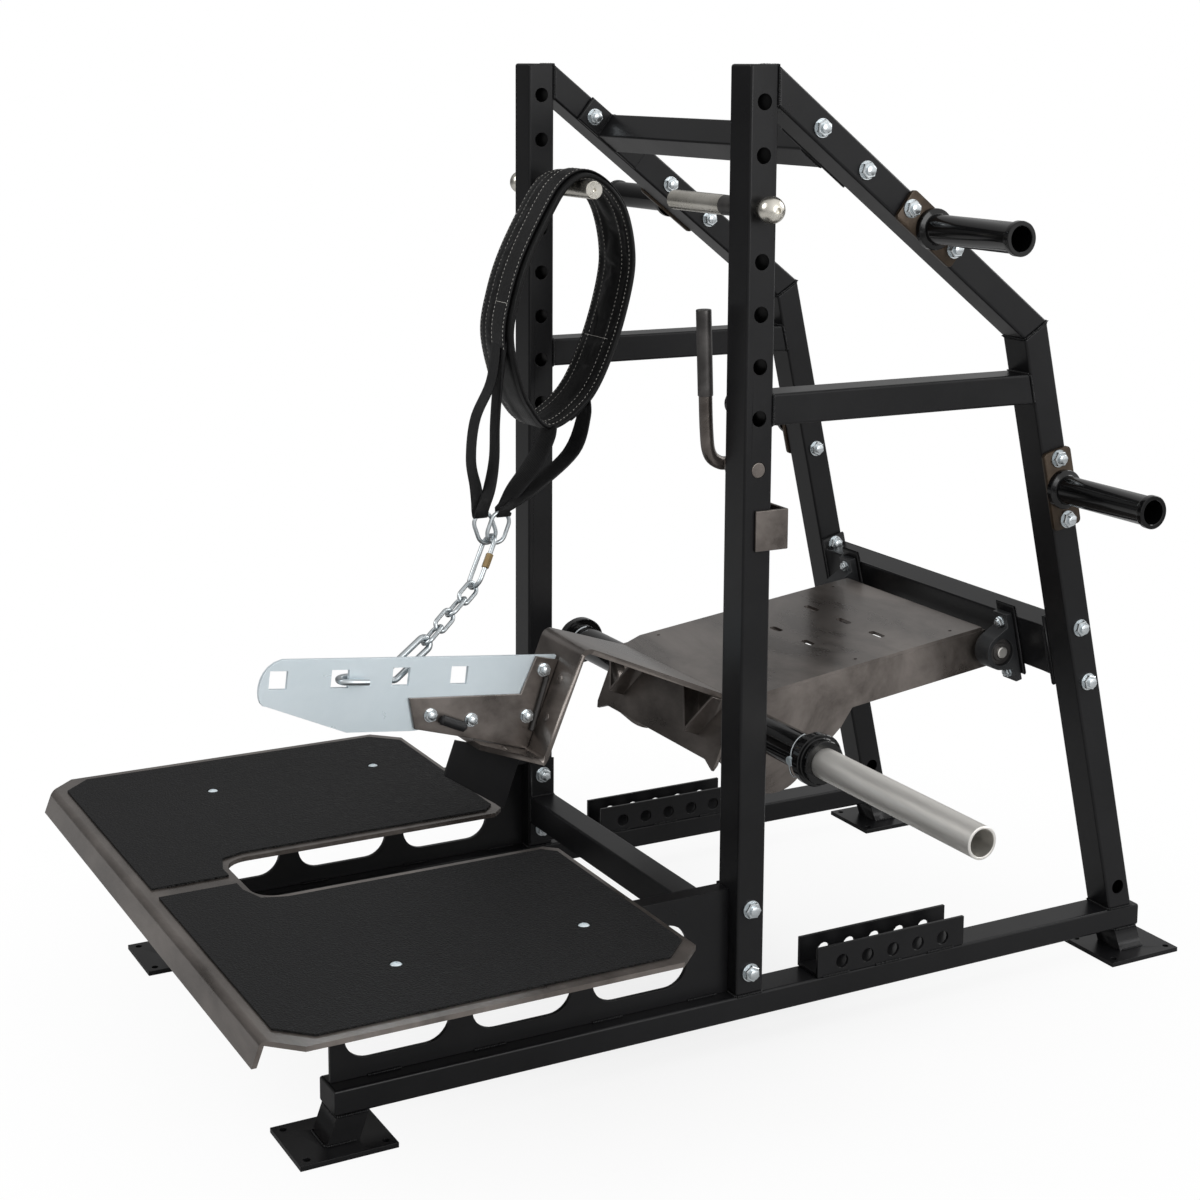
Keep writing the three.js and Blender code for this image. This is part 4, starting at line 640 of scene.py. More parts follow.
def horn(node, side, tilt):
    low, high = box_of(node)
    centre = (low + high) / 2
    root, tip = sorted((abs(low.x), abs(high.x)))
    plate = tilted_plate(centre, side, PLATE_SIZE, tilt, root, PLATE_CORNER)
    reach = tip - root
    lip = reach - LIP_LONG
    pipe = [(PLATE_SIZE[0], FLANGE_RADIUS), (FLANGE_END, FLANGE_RADIUS),
            (FLANGE_END + 0.0025, PIPE_RADIUS + 0.0005), (FLANGE_END + 0.012, PIPE_RADIUS),
            (lip - LIP_TAPER, PIPE_RADIUS), (lip, LIP_RADIUS), (reach, LIP_RADIUS), (reach, PIPE_BORE),
            (PIPE_FLOOR, PIPE_BORE), (PIPE_FLOOR, 0.0)]
    body = spun(rounded(pipe), (side * root, centre.y, centre.z), (side, 0, 0))
    mesh = joined(node + "_shape", [(plate, bronze_coat), (body, horn_gloss)])
    settle(node + "_shape", mesh, None, "frame", "horn_coat", node)


for side_name, side in SIDES:
    horn(f"upper_horn_{side_name}", side, SLOPE_TILT)
    horn(f"lower_horn_{side_name}", side, LEG_TILT)
print("horns turned")

# %% [markdown]
# A hand peg is a plated bar with a ball outside the upright and a dark sleeve inside it. The
# ball is flattened at its pole and drilled, and the bar's end shows its lathe centre.
# %% Hand pegs
GRIP_RADIUS, GRIP_CORNER, GRIP_ROOT = 0.016, 0.0012, 0.3457
DARK_LONG, DARK_RADIUS = 0.048, 0.0158
BAR_RADIUS, BAR_HIDDEN = 0.0122, 0.062          # the bar's part inside the upright
OUTER_FACE = 0.4063
BALL_RADIUS, NECK_RADIUS, BALL_STEPS = 0.021, 0.0125, 18
BALL_FLAT = math.pi * 0.9                       # where the ball's arc gives way to its flat pole
DRILL_RADIUS, DRILL_DEEP = 0.0045, 0.004
LATHE_CENTRE = [(0.006, 0), (0.005, 0.003), (0.0005, 0.0034), (0, 0.004)]


def hand_peg(side_name, side):
    node = f"hand_peg_{side_name}"
    low, high = box_of(node)
    centre = (low + high) / 2
    tip, root = sorted((abs(low.x), abs(high.x)))
    start = (side * tip, centre.y, centre.z)
    grip_end = GRIP_ROOT - tip
    dark_start = grip_end - DARK_LONG
    grip = LATHE_CENTRE + [(0, GRIP_RADIUS - GRIP_CORNER), (GRIP_CORNER, GRIP_RADIUS),
                           (dark_start, GRIP_RADIUS), (dark_start, 0.01)]
    dark = [(dark_start, 0.01), (dark_start, DARK_RADIUS), (grip_end - 0.001, DARK_RADIUS),
            (grip_end, DARK_RADIUS - 0.001), (grip_end, BAR_RADIUS), (grip_end + BAR_HIDDEN, BAR_RADIUS)]
    neck, reach = OUTER_FACE - tip, root - tip
    first = math.asin(NECK_RADIUS / BALL_RADIUS)
    arc = [(reach - BALL_RADIUS - BALL_RADIUS * math.cos(turn), BALL_RADIUS * math.sin(turn))
           for turn in (first + (BALL_FLAT - first) * i / BALL_STEPS for i in range(BALL_STEPS + 1))]
    pole = arc[-1][0]
    drill = [(pole, DRILL_RADIUS), (pole - DRILL_DEEP, 0.004), (pole - DRILL_DEEP, 0.0)]
    ball = [(neck, BAR_RADIUS), (neck, NECK_RADIUS)] + arc + drill
    parts = [(spun(profile, start, (side, 0, 0), 64), material)
             for profile, material in ((grip, nickel), (dark, dark_edge), (ball, nickel))]
    settle(node + "_shape", joined(node + "_shape", parts), None, "frame", "bright_steel", node)


for side_name, side in SIDES:
    hand_peg(side_name, side)
print("pegs turned")

# %% [markdown]
# The lever turns on a shaft in two pillow blocks. Its own directions come from its tilt at rest,
# so one helper turns a place of the lever's drawing, in millimetres, into the shared frame.
# %% Places on the lever
hinge = next(joint for joint in frame["joints"] if joint["name"] == "lever_hinge")
PIVOT = Vector(hinge["pos_m"]) - MIDDLE
LEVER_TILT = math.radians(7.2)
LEVER_TURN = Matrix.Translation(PIVOT) @ Matrix.Rotation(LEVER_TILT, 4, "X")


def on_lever(x, y, z):
    return LEVER_TURN @ Vector((x / 1000, y / 1000, z / 1000))


print("lever turns about", [round(value, 4) for value in PIVOT])

# %% [markdown]
# Weight plates slide on the sleeve, a steel tube held in a black socket on each side of the
# lever. Both are closed profiles: the line goes out along the outside and comes back in the bore.
# %% Plate sleeve and its sockets
SLEEVE_Y, SLEEVE_Z = -493, -15.5          # its line on the lever's drawing, in millimetres
SLEEVE_PROFILE = [(0.25, 0.0205), (0.25, 0.025), (0.8325, 0.025), (0.834, 0.0235), (0.834, 0.0215),
                  (0.833, 0.0205)]
SOCKET_PROFILE = [(0.2103, 0.0253), (0.2103, 0.03), (0.4, 0.03), (0.4, 0.043), (0.4175, 0.043),
                  (0.4175, 0.036), (0.432, 0.036), (0.432, 0.0255)]
SOCKET_EDGE = 0.0015


def sleeve_and_sockets():
    line = on_lever(0, SLEEVE_Y, SLEEVE_Z)
    form = spun(SLEEVE_PROFILE, line, (1, 0, 0), 96, closed=True)
    settle("sleeve_right_shape", to_mesh(form, "sleeve_right_shape"), turned_steel, "lever", "bright_steel",
           "sleeve_right")
    for side_name, side in SIDES:
        form = spun(rounded(SOCKET_PROFILE, SOCKET_EDGE), line, (side, 0, 0), 96, closed=True)
        name = f"sleeve_socket_{side_name}_shape"
        settle(name, to_mesh(form, name), horn_gloss, "lever", "horn_coat", f"sleeve_socket_{side_name}")


sleeve_and_sockets()
print("sleeve and sockets turned")

# %% [markdown]
# A pillow block is a casting that holds a ball bearing. The bearing shows as a dark ring that
# stands out of the block on both sides, with the bright end of the shaft in it.
# %% Bearings and shaft
BLOCK_X, BLOCK_EDGE = 0.241, 0.0022
RING_LONG, RING_EDGE, SHAFT_RADIUS = 0.031, 0.0006, 0.01
HALF_RING = [(0, 0.0103), (0, 0.016), (0.003, 0.0165), (0.003, 0.0235)]
RING_PROFILE = HALF_RING + [(RING_LONG - distance, radius) for distance, radius in HALF_RING[::-1]]


def bearing(side_name, side):
    start = Vector((side * (BLOCK_X - RING_LONG / 2), PIVOT.y, PIVOT.z))
    form = spun(rounded(RING_PROFILE, RING_EDGE), start, (side, 0, 0), 64, closed=True)
    settle(f"bearing_{side_name}_shape", to_mesh(form, "bearing"), dark_edge, "frame", "bright_steel",
           f"bearing_{side_name}")
    round_off(f"pillow_block_{side_name}", cast_paint, fine=BLOCK_EDGE)


for side_name, side in SIDES:
    bearing(side_name, side)
shaft_half = box_of("pivot_shaft")[1].x
shaft = rounded([(-shaft_half, 0), (-shaft_half, SHAFT_RADIUS), (shaft_half, SHAFT_RADIUS), (shaft_half, 0)],
                SOCKET_EDGE)
settle("pivot_shaft_shape", to_mesh(spun(shaft, PIVOT, (1, 0, 0)), "pivot_shaft"), turned_steel, "lever",
       "bright_steel", "pivot_shaft")
print("lever's round parts turned")

# %% [markdown]
# Bolts, weld ripples and stitches repeat all over the machine, so Geometry Nodes make them. A
# tree gets named inputs for its sizes, and its result is turned into a plain mesh for each body.
# %% Helpers for geometry trees
def new_tree(name, sizes):
    tree = bpy.data.node_groups.new(name, "GeometryNodeTree")
    tree.interface.new_socket("Geometry", in_out="INPUT", socket_type="NodeSocketGeometry")
    tree.interface.new_socket("Geometry", in_out="OUTPUT", socket_type="NodeSocketGeometry")
    for label, value in sizes.items():
        socket = tree.interface.new_socket(label, in_out="INPUT", socket_type="NodeSocketFloat")
        socket.default_value = value
    return tree, add(tree, "NodeGroupInput").outputs


def times(tree, value, factor):
    return add(tree, "ShaderNodeMath", {0: value, 1: factor}, operation="MULTIPLY").outputs[0]


def close_tree(tree, geometry, material):
    real = add(tree, "GeometryNodeRealizeInstances", {"Geometry": geometry}).outputs[0]
    coated = add(tree, "GeometryNodeSetMaterial", {"Geometry": real, "Material": material}).outputs[0]
    add(tree, "NodeGroupOutput", {"Geometry": coated})
    return tree


def grow(name, seed_mesh, tree, angle=SHARP, **sizes):
    """Runs a tree on a seed mesh and returns the result as a plain mesh."""
    holder = bpy.data.objects.new("holder", seed_mesh)
    bpy.context.scene.collection.objects.link(holder)
    modifier = holder.modifiers.new("tree", "NODES")
    modifier.node_group = tree
    labels = {item.name: item.identifier for item in tree.interface.items_tree if item.in_out == "INPUT"}
    for label, value in sizes.items():
        modifier[labels[label]] = value
    view = bpy.context.evaluated_depsgraph_get()
    mesh = bpy.data.meshes.new_from_object(holder.evaluated_get(view), depsgraph=view)
    mesh.name = name
    bpy.data.objects.remove(holder)
    shade(mesh, angle)
    return mesh


def seed_points(places):
    """A mesh of loose points, each with the direction that it faces."""
    mesh = bpy.data.meshes.new("seed")
    mesh.from_pydata([place for place, facing in places], [], [])
    facings = mesh.attributes.new("facing", "FLOAT_VECTOR", "POINT")
    facings.data.foreach_set("vector", [part for place, facing in places for part in facing])
    return mesh


print("geometry tree helpers ready")

# %% [markdown]
# Each fastener is a washer, a hexagon with a chamfered top and the bolt's end. Every one is
# turned by its own fixed random angle, as a spanner leaves them.
# %% Fastener tree
BOLT_SIZE, SPANNER_SEED, WHOLE_TURN = 0.024, 11, 6.28
HEX_SIDES, DISC_SIDES = 6, 28
FASTENER_SHARES = (          # sides, then lower radius, upper radius and height as shares of Size
    (DISC_SIDES, 0.62, 0.62, 0.1),      # washer
    (HEX_SIDES, 0.56, 0.56, 0.3),       # nut
    (HEX_SIDES, 0.56, 0.5, 0.06),       # its chamfer
    (DISC_SIDES, 0.34, 0.34, 0.16),     # the bolt's end
    (DISC_SIDES, 0.34, 0.28, 0.04),
)


def fastener_tree():
    tree, given = new_tree("fastener", {"Size": BOLT_SIZE})
    size = given["Size"]
    parts = []
    height = 0.0
    for sides, across, top, deep in FASTENER_SHARES:
        cone = add(tree, "GeometryNodeMeshCone", {
            "Vertices": sides, "Radius Bottom": times(tree, size, across),
            "Radius Top": times(tree, size, top), "Depth": times(tree, size, deep)}).outputs["Mesh"]
        up = add(tree, "ShaderNodeCombineXYZ", {"Z": times(tree, size, height)}).outputs[0]
        parts.append(add(tree, "GeometryNodeTransform", {"Geometry": cone, "Translation": up}).outputs[0])
        height += deep
    whole = add(tree, "GeometryNodeJoinGeometry")
    for part in parts:
        tree.links.new(part, whole.inputs[0])
    facing = add(tree, "GeometryNodeInputNamedAttribute", {"Name": "facing"}, data_type="FLOAT_VECTOR")
    turned = add(tree, "FunctionNodeAlignRotationToVector", {"Vector": facing.outputs["Attribute"]}, axis="Z")
    placed = add(tree, "GeometryNodeInstanceOnPoints", {
        "Points": given["Geometry"], "Instance": whole.outputs[0], "Rotation": turned.outputs[0]})
    chance = add(tree, "FunctionNodeRandomValue", {2: 0.0, 3: WHOLE_TURN, "Seed": SPANNER_SEED},
                 data_type="FLOAT").outputs[1]
    spin = add(tree, "ShaderNodeCombineXYZ", {"Z": chance}).outputs[0]
    spun_round = add(tree, "GeometryNodeRotateInstances", {"Instances": placed.outputs[0], "Rotation": spin})
    return close_tree(tree, spun_round.outputs[0], bolt_zinc)


print("fastener tree ready")

# %% [markdown]
# Bolts go through a tube in pairs, so each pair is named once, in side view, and its heads are
# put on both faces and on both sides of the machine. The horns' pairs follow their tubes.
# %% Where the fasteners are
TOP_BEAM_BOLTS = [(0.1015, 1.461), (0.1855, 1.396)]
REAR_BEAM_BOLTS = [(0.6501, 0.6137), (0.6723, 0.5163)]
LOW_BEAM_BOLTS = [(-0.0015, 0.233), (-0.0015, 0.128)]
BRACKET_BOLTS = [(-0.3795, 0.497), (-0.3065, 0.479), (-0.1725, 0.547), (-0.2045, 0.471)]
BLIND_BOLT = TOP_BEAM_BOLTS[1]          # the beam itself covers its inner end
INNER_PLATE, INNER_FACE, HORN_FACE = 0.3377, 0.346, 0.4143
HORN_BOLT_STEP, BLOCK_BOLT_STEP, BLOCK_DEEP = 0.054, 0.0475, 0.02
BRACKET_RIGHT, BRACKET_LEFT = 0.0103, -0.004


def along_tube(centre, distance, fall):
    return [(centre.y + sign * distance * math.sin(fall), centre.z - sign * distance * math.cos(fall))
            for sign in (-1, 1)]


def frame_bolts():
    rows = [(INNER_PLATE, OUTER_FACE, pairs) for pairs in (TOP_BEAM_BOLTS, REAR_BEAM_BOLTS, LOW_BEAM_BOLTS)]
    rows += [(INNER_FACE, HORN_FACE, along_tube(middle_of(f"{node}_right"), HORN_BOLT_STEP, tilt))
             for node, tilt in (("upper_horn", SLOPE_TILT), ("lower_horn", LEG_TILT))]
    places = []
    for inner, outer, pairs in rows:
        for y, z in pairs:
            for side in (-1.0, 1.0):
                places.append(((side * outer, y, z), (side, 0, 0)))
                if (y, z) != BLIND_BOLT:
                    places.append(((side * inner, y, z), (-side, 0, 0)))
    return places


def block_bolts():
    front = Vector((0, -math.cos(LEG_TILT), -math.sin(LEG_TILT)))
    rise = Vector((0, -math.sin(LEG_TILT), math.cos(LEG_TILT)))
    return [(PIVOT + Vector((side * BLOCK_X, 0, 0)) - front * BLOCK_DEEP + rise * offset, front)
            for side in (-1.0, 1.0) for offset in (-BLOCK_BOLT_STEP, BLOCK_BOLT_STEP)]


def bracket_bolts():
    return [place for y, z in BRACKET_BOLTS
            for place in (((BRACKET_RIGHT, y, z), (1, 0, 0)), ((BRACKET_LEFT, y, z), (-1, 0, 0)))]


print("bolt places ready")

# %% [markdown]
# One tree serves all bolts. It runs once for each group, because what it makes has to ride on
# one body, and because the bearings and the tongue are held by smaller bolts than the frame.
# %% Fasteners on their bodies
BLOCK_BOLT_SIZE, BRACKET_BOLT_SIZE = 0.017, 0.019

fasteners = fastener_tree()
for label, places, size, body in (("frame_bolts", frame_bolts(), BOLT_SIZE, "frame"),
                                  ("block_bolts", block_bolts(), BLOCK_BOLT_SIZE, "frame"),
                                  ("bracket_bolts", bracket_bolts(), BRACKET_BOLT_SIZE, "lever")):
    settle(label, grow(label, seed_points(places), fasteners, Size=size), None, body, "zinc_plate")
    print(label, len(places))

# %% [markdown]
# A weld is a row of overlapping ripples. The tree resamples each drawn line and puts a flattened
# drop at every step, a little larger or smaller by a fixed random share.
# %% Weld tree
BEAD_RADIUS, BEAD_STEP, BEAD_FLAT = 0.0026, 0.0026, (1.0, 1.0, 0.62)
BEAD_SMALL, BEAD_LARGE, BEAD_SEED = 0.85, 1.18, 4


def weld_tree(material):
    tree, given = new_tree("weld_" + material.name, {"Bead": BEAD_RADIUS, "Step": BEAD_STEP})
    line = add(tree, "GeometryNodeMeshToCurve", {"Mesh": given["Geometry"]}).outputs[0]
    steps = add(tree, "GeometryNodeCurveToPoints", {
        "Curve": line, "Length": given["Step"]}, mode="LENGTH").outputs
    drop = add(tree, "GeometryNodeMeshUVSphere", {"Segments": 8, "Rings": 5, "Radius": given["Bead"]})
    flat = add(tree, "GeometryNodeTransform", {"Geometry": drop.outputs[0], "Scale": BEAD_FLAT}).outputs[0]
    size = add(tree, "FunctionNodeRandomValue", {2: BEAD_SMALL, 3: BEAD_LARGE, "Seed": BEAD_SEED},
               data_type="FLOAT").outputs[1]
    beads = add(tree, "GeometryNodeInstanceOnPoints", {
        "Points": steps["Points"], "Instance": flat, "Rotation": steps["Rotation"], "Scale": size})
    return close_tree(tree, beads.outputs[0], material)


def lines_mesh(loops):
    """One mesh of drawn lines; a loop whose first place returns at its end is closed."""
    mesh = bpy.data.meshes.new("lines")
    places, edges = [], []
    for loop in loops:
        first = len(places)
        places += [Vector(place) for place in loop]
        edges += [(first + i, first + i + 1) for i in range(len(loop) - 1)]
    mesh.from_pydata(places, edges, [])
    return mesh


print("weld tree ready")

# %% [markdown]
# The side frames are welded where one tube ends on another, and each cross member is welded to
# its end plates. The ends are given in side view by two corners; the outline follows from them.
# %% Where the frame is welded
CORNER_CUT = 0.004
TUBE_INNER, TUBE_OUTER = 0.3463, 0.4057
TUBE_ENDS = (          # the lower and the upper corner, or the front and the rear one, as y and z
    ((-0.0265, 0.0903), (0.0235, 0.0903)),      # upright on the rail
    ((0.0237, 1.4927), (0.0237, 1.5545)),       # sloping tube on the upright
    ((0.5545, 1.1435), (0.5097, 1.1154)),       # sloping tube on the rear leg
    ((0.7441, 0.0903), (0.7954, 0.0903)),       # rear leg on the rail
    ((0.0237, 1.007), (0.0237, 1.057)),         # brace on the upright
    ((0.5345, 1.007), (0.5231, 1.057)),         # brace on the rear leg
    ((-0.7175, 0.0085), (-0.6675, 0.0085)),     # feet on their plates
    ((0.7765, 0.0085), (0.8265, 0.0085)),
    ((-0.6995, 0.0497), (-0.6495, 0.0497)),     # rail on the feet
    ((0.7585, 0.0497), (0.8085, 0.0497)),
)
BEAM_END, BEAM_DEEP = 0.3375, 0.05
BEAM_ENDS = (          # middle, height and tilt of the top, rear and low beam
    ((0, 0.1435, 1.4313), 0.05, -SLOPE_FALL),
    ((0, 0.6612, 0.565), 0.09, LEG_TILT),
    ((0, -0.0015, 0.167), 0.05, 0.0),
)
WELD_LONG = 0.05          # a stitch weld along the rail
DECK_WELDS, DECK_FACES, DECK_WELD_Z = (-0.64, -0.47, -0.27, -0.1), (0.3715, 0.3805), 0.0908
CHANNEL_WELDS, CHANNEL_WELD_Z = (0.14, 0.245, 0.35), 0.0906


def clipped(corners, cut=CORNER_CUT):
    """A closed outline with its corners cut off, because the tube's own corners are round."""
    corners = [Vector(corner) for corner in corners]
    line = []
    for i, corner in enumerate(corners):
        for other in (corners[i - 1], corners[(i + 1) % len(corners)]):
            line.append(corner + (other - corner).normalized() * cut)
    return line + line[:1]


def across_tube(side, low, high):
    inner, outer = side * TUBE_INNER, side * TUBE_OUTER
    return clipped([(inner, *low), (outer, *low), (outer, *high), (inner, *high)])


def around_beam(side, centre, tall, tilt):
    turn = Matrix.Rotation(tilt, 3, "X")
    return clipped([turn @ Vector((side * BEAM_END, a * BEAM_DEEP / 2, b * tall / 2)) + Vector(centre)
                    for a, b in ((-1, -1), (1, -1), (1, 1), (-1, 1))])


def along_rail(side, starts, faces, z):
    return [[(side * x, start, z), (side * x, start + WELD_LONG, z)] for start in starts for x in faces]


def frame_welds():
    loops = []
    for side in (-1.0, 1.0):
        loops += [across_tube(side, low, high) for low, high in TUBE_ENDS]
        loops += [around_beam(side, *row) for row in BEAM_ENDS]
        loops += along_rail(side, DECK_WELDS, DECK_FACES, DECK_WELD_Z)
        loops += along_rail(side, CHANNEL_WELDS, (TUBE_INNER, TUBE_OUTER), CHANNEL_WELD_Z)
    return loops


def circle_of(centre, radius, steps=40):
    return [centre + Vector((0, math.cos(turn), math.sin(turn))) * radius
            for turn in (2 * math.pi * i / steps for i in range(steps + 1))]


welds = grow("frame_welds", lines_mesh(frame_welds()), weld_tree(powder_coat), angle=math.pi)
settle("frame_welds", welds, None, "frame", "frame_coat")
HUB_WELD_X, HUB_WELD_RADIUS = 210.5, 0.0305
hub_welds = [circle_of(on_lever(side * HUB_WELD_X, SLEEVE_Y, SLEEVE_Z), HUB_WELD_RADIUS)
             for side in (-1.0, 1.0)]
settle("hub_welds", grow("hub_welds", lines_mesh(hub_welds), weld_tree(horn_gloss), angle=math.pi), None,
       "lever", "horn_coat")
print("welds laid", len(welds.polygons), "faces")

# %% [markdown]
# The nose is one strap of plate bent twice on a press brake. The solid draws its bends sharp, so
# the copy rounds both faces of each bend, the outer one by about the plate's thickness more.
# %% Nose
NOSE_LINE = [(-514.3, 36), (-719, 149), (-816, -26), (-914, 21)]          # on the lever's drawing
NOSE_SHEET, NOSE_EDGE = 9.0, 0.0014
BEND_INSIDE, BEND_OUTSIDE = 0.008, 0.017


def side_place(y, z):
    place = on_lever(0, y, z)
    return place.y, place.z


def under_the_bend(index):
    (y0, z0), (y1, z1), (y2, z2) = NOSE_LINE[index - 1:index + 2]
    before, after = (Vector((z1 - z0, y0 - y1)).normalized(), Vector((z2 - z1, y1 - y2)).normalized())
    shift = (before + after) * NOSE_SHEET / (1 + before.dot(after))
    return y1 - shift.x, z1 - shift.y


nose_bends = [(*side_place(*place), radius) for place, radius in (
    (NOSE_LINE[1], BEND_OUTSIDE), (under_the_bend(1), BEND_INSIDE),
    (NOSE_LINE[2], BEND_INSIDE), (under_the_bend(2), BEND_OUTSIDE))]
round_off("arm_nose", raw_plate, fine=NOSE_EDGE, bends=nose_bends)
print("nose bent at", [tuple(round(value, 3) for value in bend) for bend in nose_bends])

# %% [markdown]
# Wires, handles and straps are sections drawn along a smooth line. A loop of wire keeps its turn
# by itself, and a strap is told at every place which way its width points.
# %% Sweeping a section along a line
def smooth_line(points, steps=8, closed=False):
    """A smooth curve through all the points."""
    points = [Vector(point) for point in points]
    count = len(points)
    made = []
    for i in range(count if closed else count - 1):
        a, b, c, d = ((points[(i + k) % count] if closed else points[min(max(i + k, 0), count - 1)])
                      for k in (-1, 0, 1, 2))
        for j in range(steps):
            t = j / steps
            made.append((b * 2 + (c - a) * t + (a * 2 - b * 5 + c * 4 - d) * t ** 2
                         + (b * 3 - a - c * 3 + d) * t ** 3) / 2)
    return made if closed else made + [points[-1]]


def swept(path, section, sides=None, closed=False):
    """Draws a section along a path; sides say at each place which way, and how far, it is wide."""
    form = bmesh.new()
    rings = []
    side = None
    last = len(path) - 1
    for i, place in enumerate(path):
        before = path[i - 1] if i or closed else path[0]
        after = path[(i + 1) % (last + 1)] if i < last or closed else path[last]
        tangent = (after - before).normalized()
        side = sides[i] if sides else (side or tangent.orthogonal())
        side = side - tangent * side.dot(tangent)
        if not sides:
            side.normalize()
        normal = tangent.cross(side).normalized()
        rings.append([form.verts.new(place + side * a + normal * b) for a, b in section])
    for low, high in list(zip(rings, rings[1:])) + ([(rings[-1], rings[0])] if closed else []):
        for k in range(len(section)):
            n = (k + 1) % len(section)
            form.faces.new((low[k], low[n], high[n], high[k]))
    if not closed:
        form.faces.new(rings[0][::-1])
        form.faces.new(rings[-1])
    bmesh.ops.recalc_face_normals(form, faces=form.faces)
    return form


def round_section(radius, sides=16):
    return [(radius * math.cos(turn), radius * math.sin(turn))
            for turn in (2 * math.pi * i / sides for i in range(sides))]


def oval(top, bottom, half_width, plane, steps=12):
    """The middle line of a link between its two ends, flat in the plane of the given direction."""
    top, bottom, plane = Vector(top), Vector(bottom), Vector(plane)
    along = (bottom - top).normalized()
    across = (plane - along * plane.dot(along)).normalized()
    points = []
    for end, far in ((top, 1), (bottom, -1)):
        centre = end + along * half_width * far
        points += [centre + (across * math.cos(turn) - along * math.sin(turn)) * half_width * far
                   for turn in (math.pi * i / steps for i in range(steps + 1))]
    return points


def wire_loop(top, bottom, half_width, wire, plane, sides=16):
    """A link: its round section keeps the normal of the link's plane, so that it never twists."""
    line = oval(top, bottom, half_width, plane)
    normal = (Vector(bottom) - Vector(top)).cross(Vector(plane)).normalized()
    return swept(line, round_section(wire, sides), [normal] * len(line), closed=True)


print("sweeping helpers ready")

# %% [markdown]
# The release lever is a bent bar with a slightly thicker grip tube slid over its upper half.
# %% Release lever
BAR_X = 0.3257
BAR_POINTS = [(BAR_X, -0.0555, 1.1825), (BAR_X, -0.0515, 1.083), (BAR_X, -0.0478, 0.997),
              (BAR_X, -0.0415, 0.957), (BAR_X, -0.0225, 0.941), (BAR_X, -0.0015, 0.94)]
BENT_BAR_RADIUS, GRIP_TUBE_RADIUS, BAR_EDGE, BAR_SIDES = 0.0107, 0.0121, 0.0012, 28
GRIP_FROM, GRIP_OVER = 1.04, Vector((0, 0, 0.0002))          # it stands a hair over the bar's end

bar_line = smooth_line(BAR_POINTS)
bar = swept(bar_line, round_section(BENT_BAR_RADIUS, BAR_SIDES))
grip_line = [place + GRIP_OVER for place in bar_line if place.z > GRIP_FROM]
grip = swept(grip_line, round_section(GRIP_TUBE_RADIUS, BAR_SIDES))
for form in (bar, grip):
    soften(form, cornered(form, 0.0, ANY_LENGTH), BAR_EDGE, FINE_STEPS)
settle("release_handle_shape", joined("release_handle_shape", [(bar, raw_plate), (grip, dark_edge)]), None,
       "release", "raw_plate", "release_handle")
print("release lever made")

# %% [markdown]
# A sprung wire is snapped over each socket to keep its pin in. It arches from the pin's head
# over the top of the socket, and slides out with the pin. A small pull ring hangs from the head.
# %% Hitch pins
PIN_X, PIN_TIP, PIN_HEAD = 385.0, -501, -528          # on the lever's drawing, in millimetres
PIN_PROFILE = [(0, 0), (0, 0.003), (0.002, 0.004), (0.025, 0.004), (0.025, 0.008), (0.031, 0.008), (0.031, 0)]
ARCH_RADIUS, ARCH_LEAN, ARCH_FIRST, ARCH_LAST, ARCH_STEP = 34, 0.07, 0, 80, 16
ARCH_START = 10                                       # degrees above the socket's middle
ARCH_WIRE, PULL_WIRE, PULL_HALF, WIRE_SIDES = 0.0014, 0.0013, 0.009, 10
SMALL_ROUND_SIDES = 32


def arch_place(side, angle):
    turn = math.radians(ARCH_START + angle)
    return on_lever(side * (PIN_X - ARCH_LEAN * angle), SLEEVE_Y - ARCH_RADIUS * math.cos(turn),
                    SLEEVE_Z + ARCH_RADIUS * math.sin(turn))


def hitch_pin(side_name, side):
    x = side * PIN_X
    start, ahead = on_lever(x, PIN_TIP, SLEEVE_Z), on_lever(0, -1, 0) - on_lever(0, 0, 0)
    pin = spun(rounded(PIN_PROFILE), start, ahead, SMALL_ROUND_SIDES)
    arch = [on_lever(x, PIN_HEAD, SLEEVE_Z)]
    arch += [arch_place(side, angle) for angle in range(ARCH_FIRST, ARCH_LAST + 1, ARCH_STEP)]
    top, bottom = on_lever(x, PIN_HEAD, -12), on_lever(x + side * 4, PIN_HEAD + 2, -42)
    wires = [swept(smooth_line(arch, 4), round_section(ARCH_WIRE, WIRE_SIDES)),
             wire_loop(top, bottom, PULL_HALF, PULL_WIRE, (1, 0, 0), WIRE_SIDES)]
    mesh = joined(f"hitch_pin_{side_name}_shape", [(pin, zinc)] + [(form, bolt_zinc) for form in wires])
    settle(f"hitch_pin_{side_name}_shape", mesh, None, f"hitch_{side_name}", "zinc_plate",
           f"hitch_pin_{side_name}")


for side_name, side in SIDES:
    hitch_pin(side_name, side)
print("hitch pins made")

# %% [markdown]
# Two rings, a quick link and a short chain tie the belt to the arm. Ring and belt hang on the
# frame, the hook rides on the lever, and the quick link and chain between them ride on no body.
# %% Rings, quick link and chain
QUICK_TOP, QUICK_END = Vector((-0.13, -0.2033, 0.7533)), Vector((-0.1029, -0.2519, 0.6726))
CHAIN_START, CHAIN_ALONG = Vector((-0.1065, -0.2456, 0.6763)), Vector((0.4401, -0.7743, -0.4548))
FLAT_PLANE, CROSS_PLANE = Vector((0.961, 0.1426, 0.2368)), Vector((0.1185, 0.5413, -0.8068))
HOOK_EYE = Vector((-0.0415, -0.3599, 0.6091))
LINK_LENGTH, LINK_PITCH, LINKS = 0.0452, 0.0374, 4
LINK_HALF, LINK_WIRE = 0.011, 0.0036
QUICK_HALF, QUICK_WIRE = 0.018, 0.004
NUT_LONG, NUT_RADIUS = 0.026, 0.0068
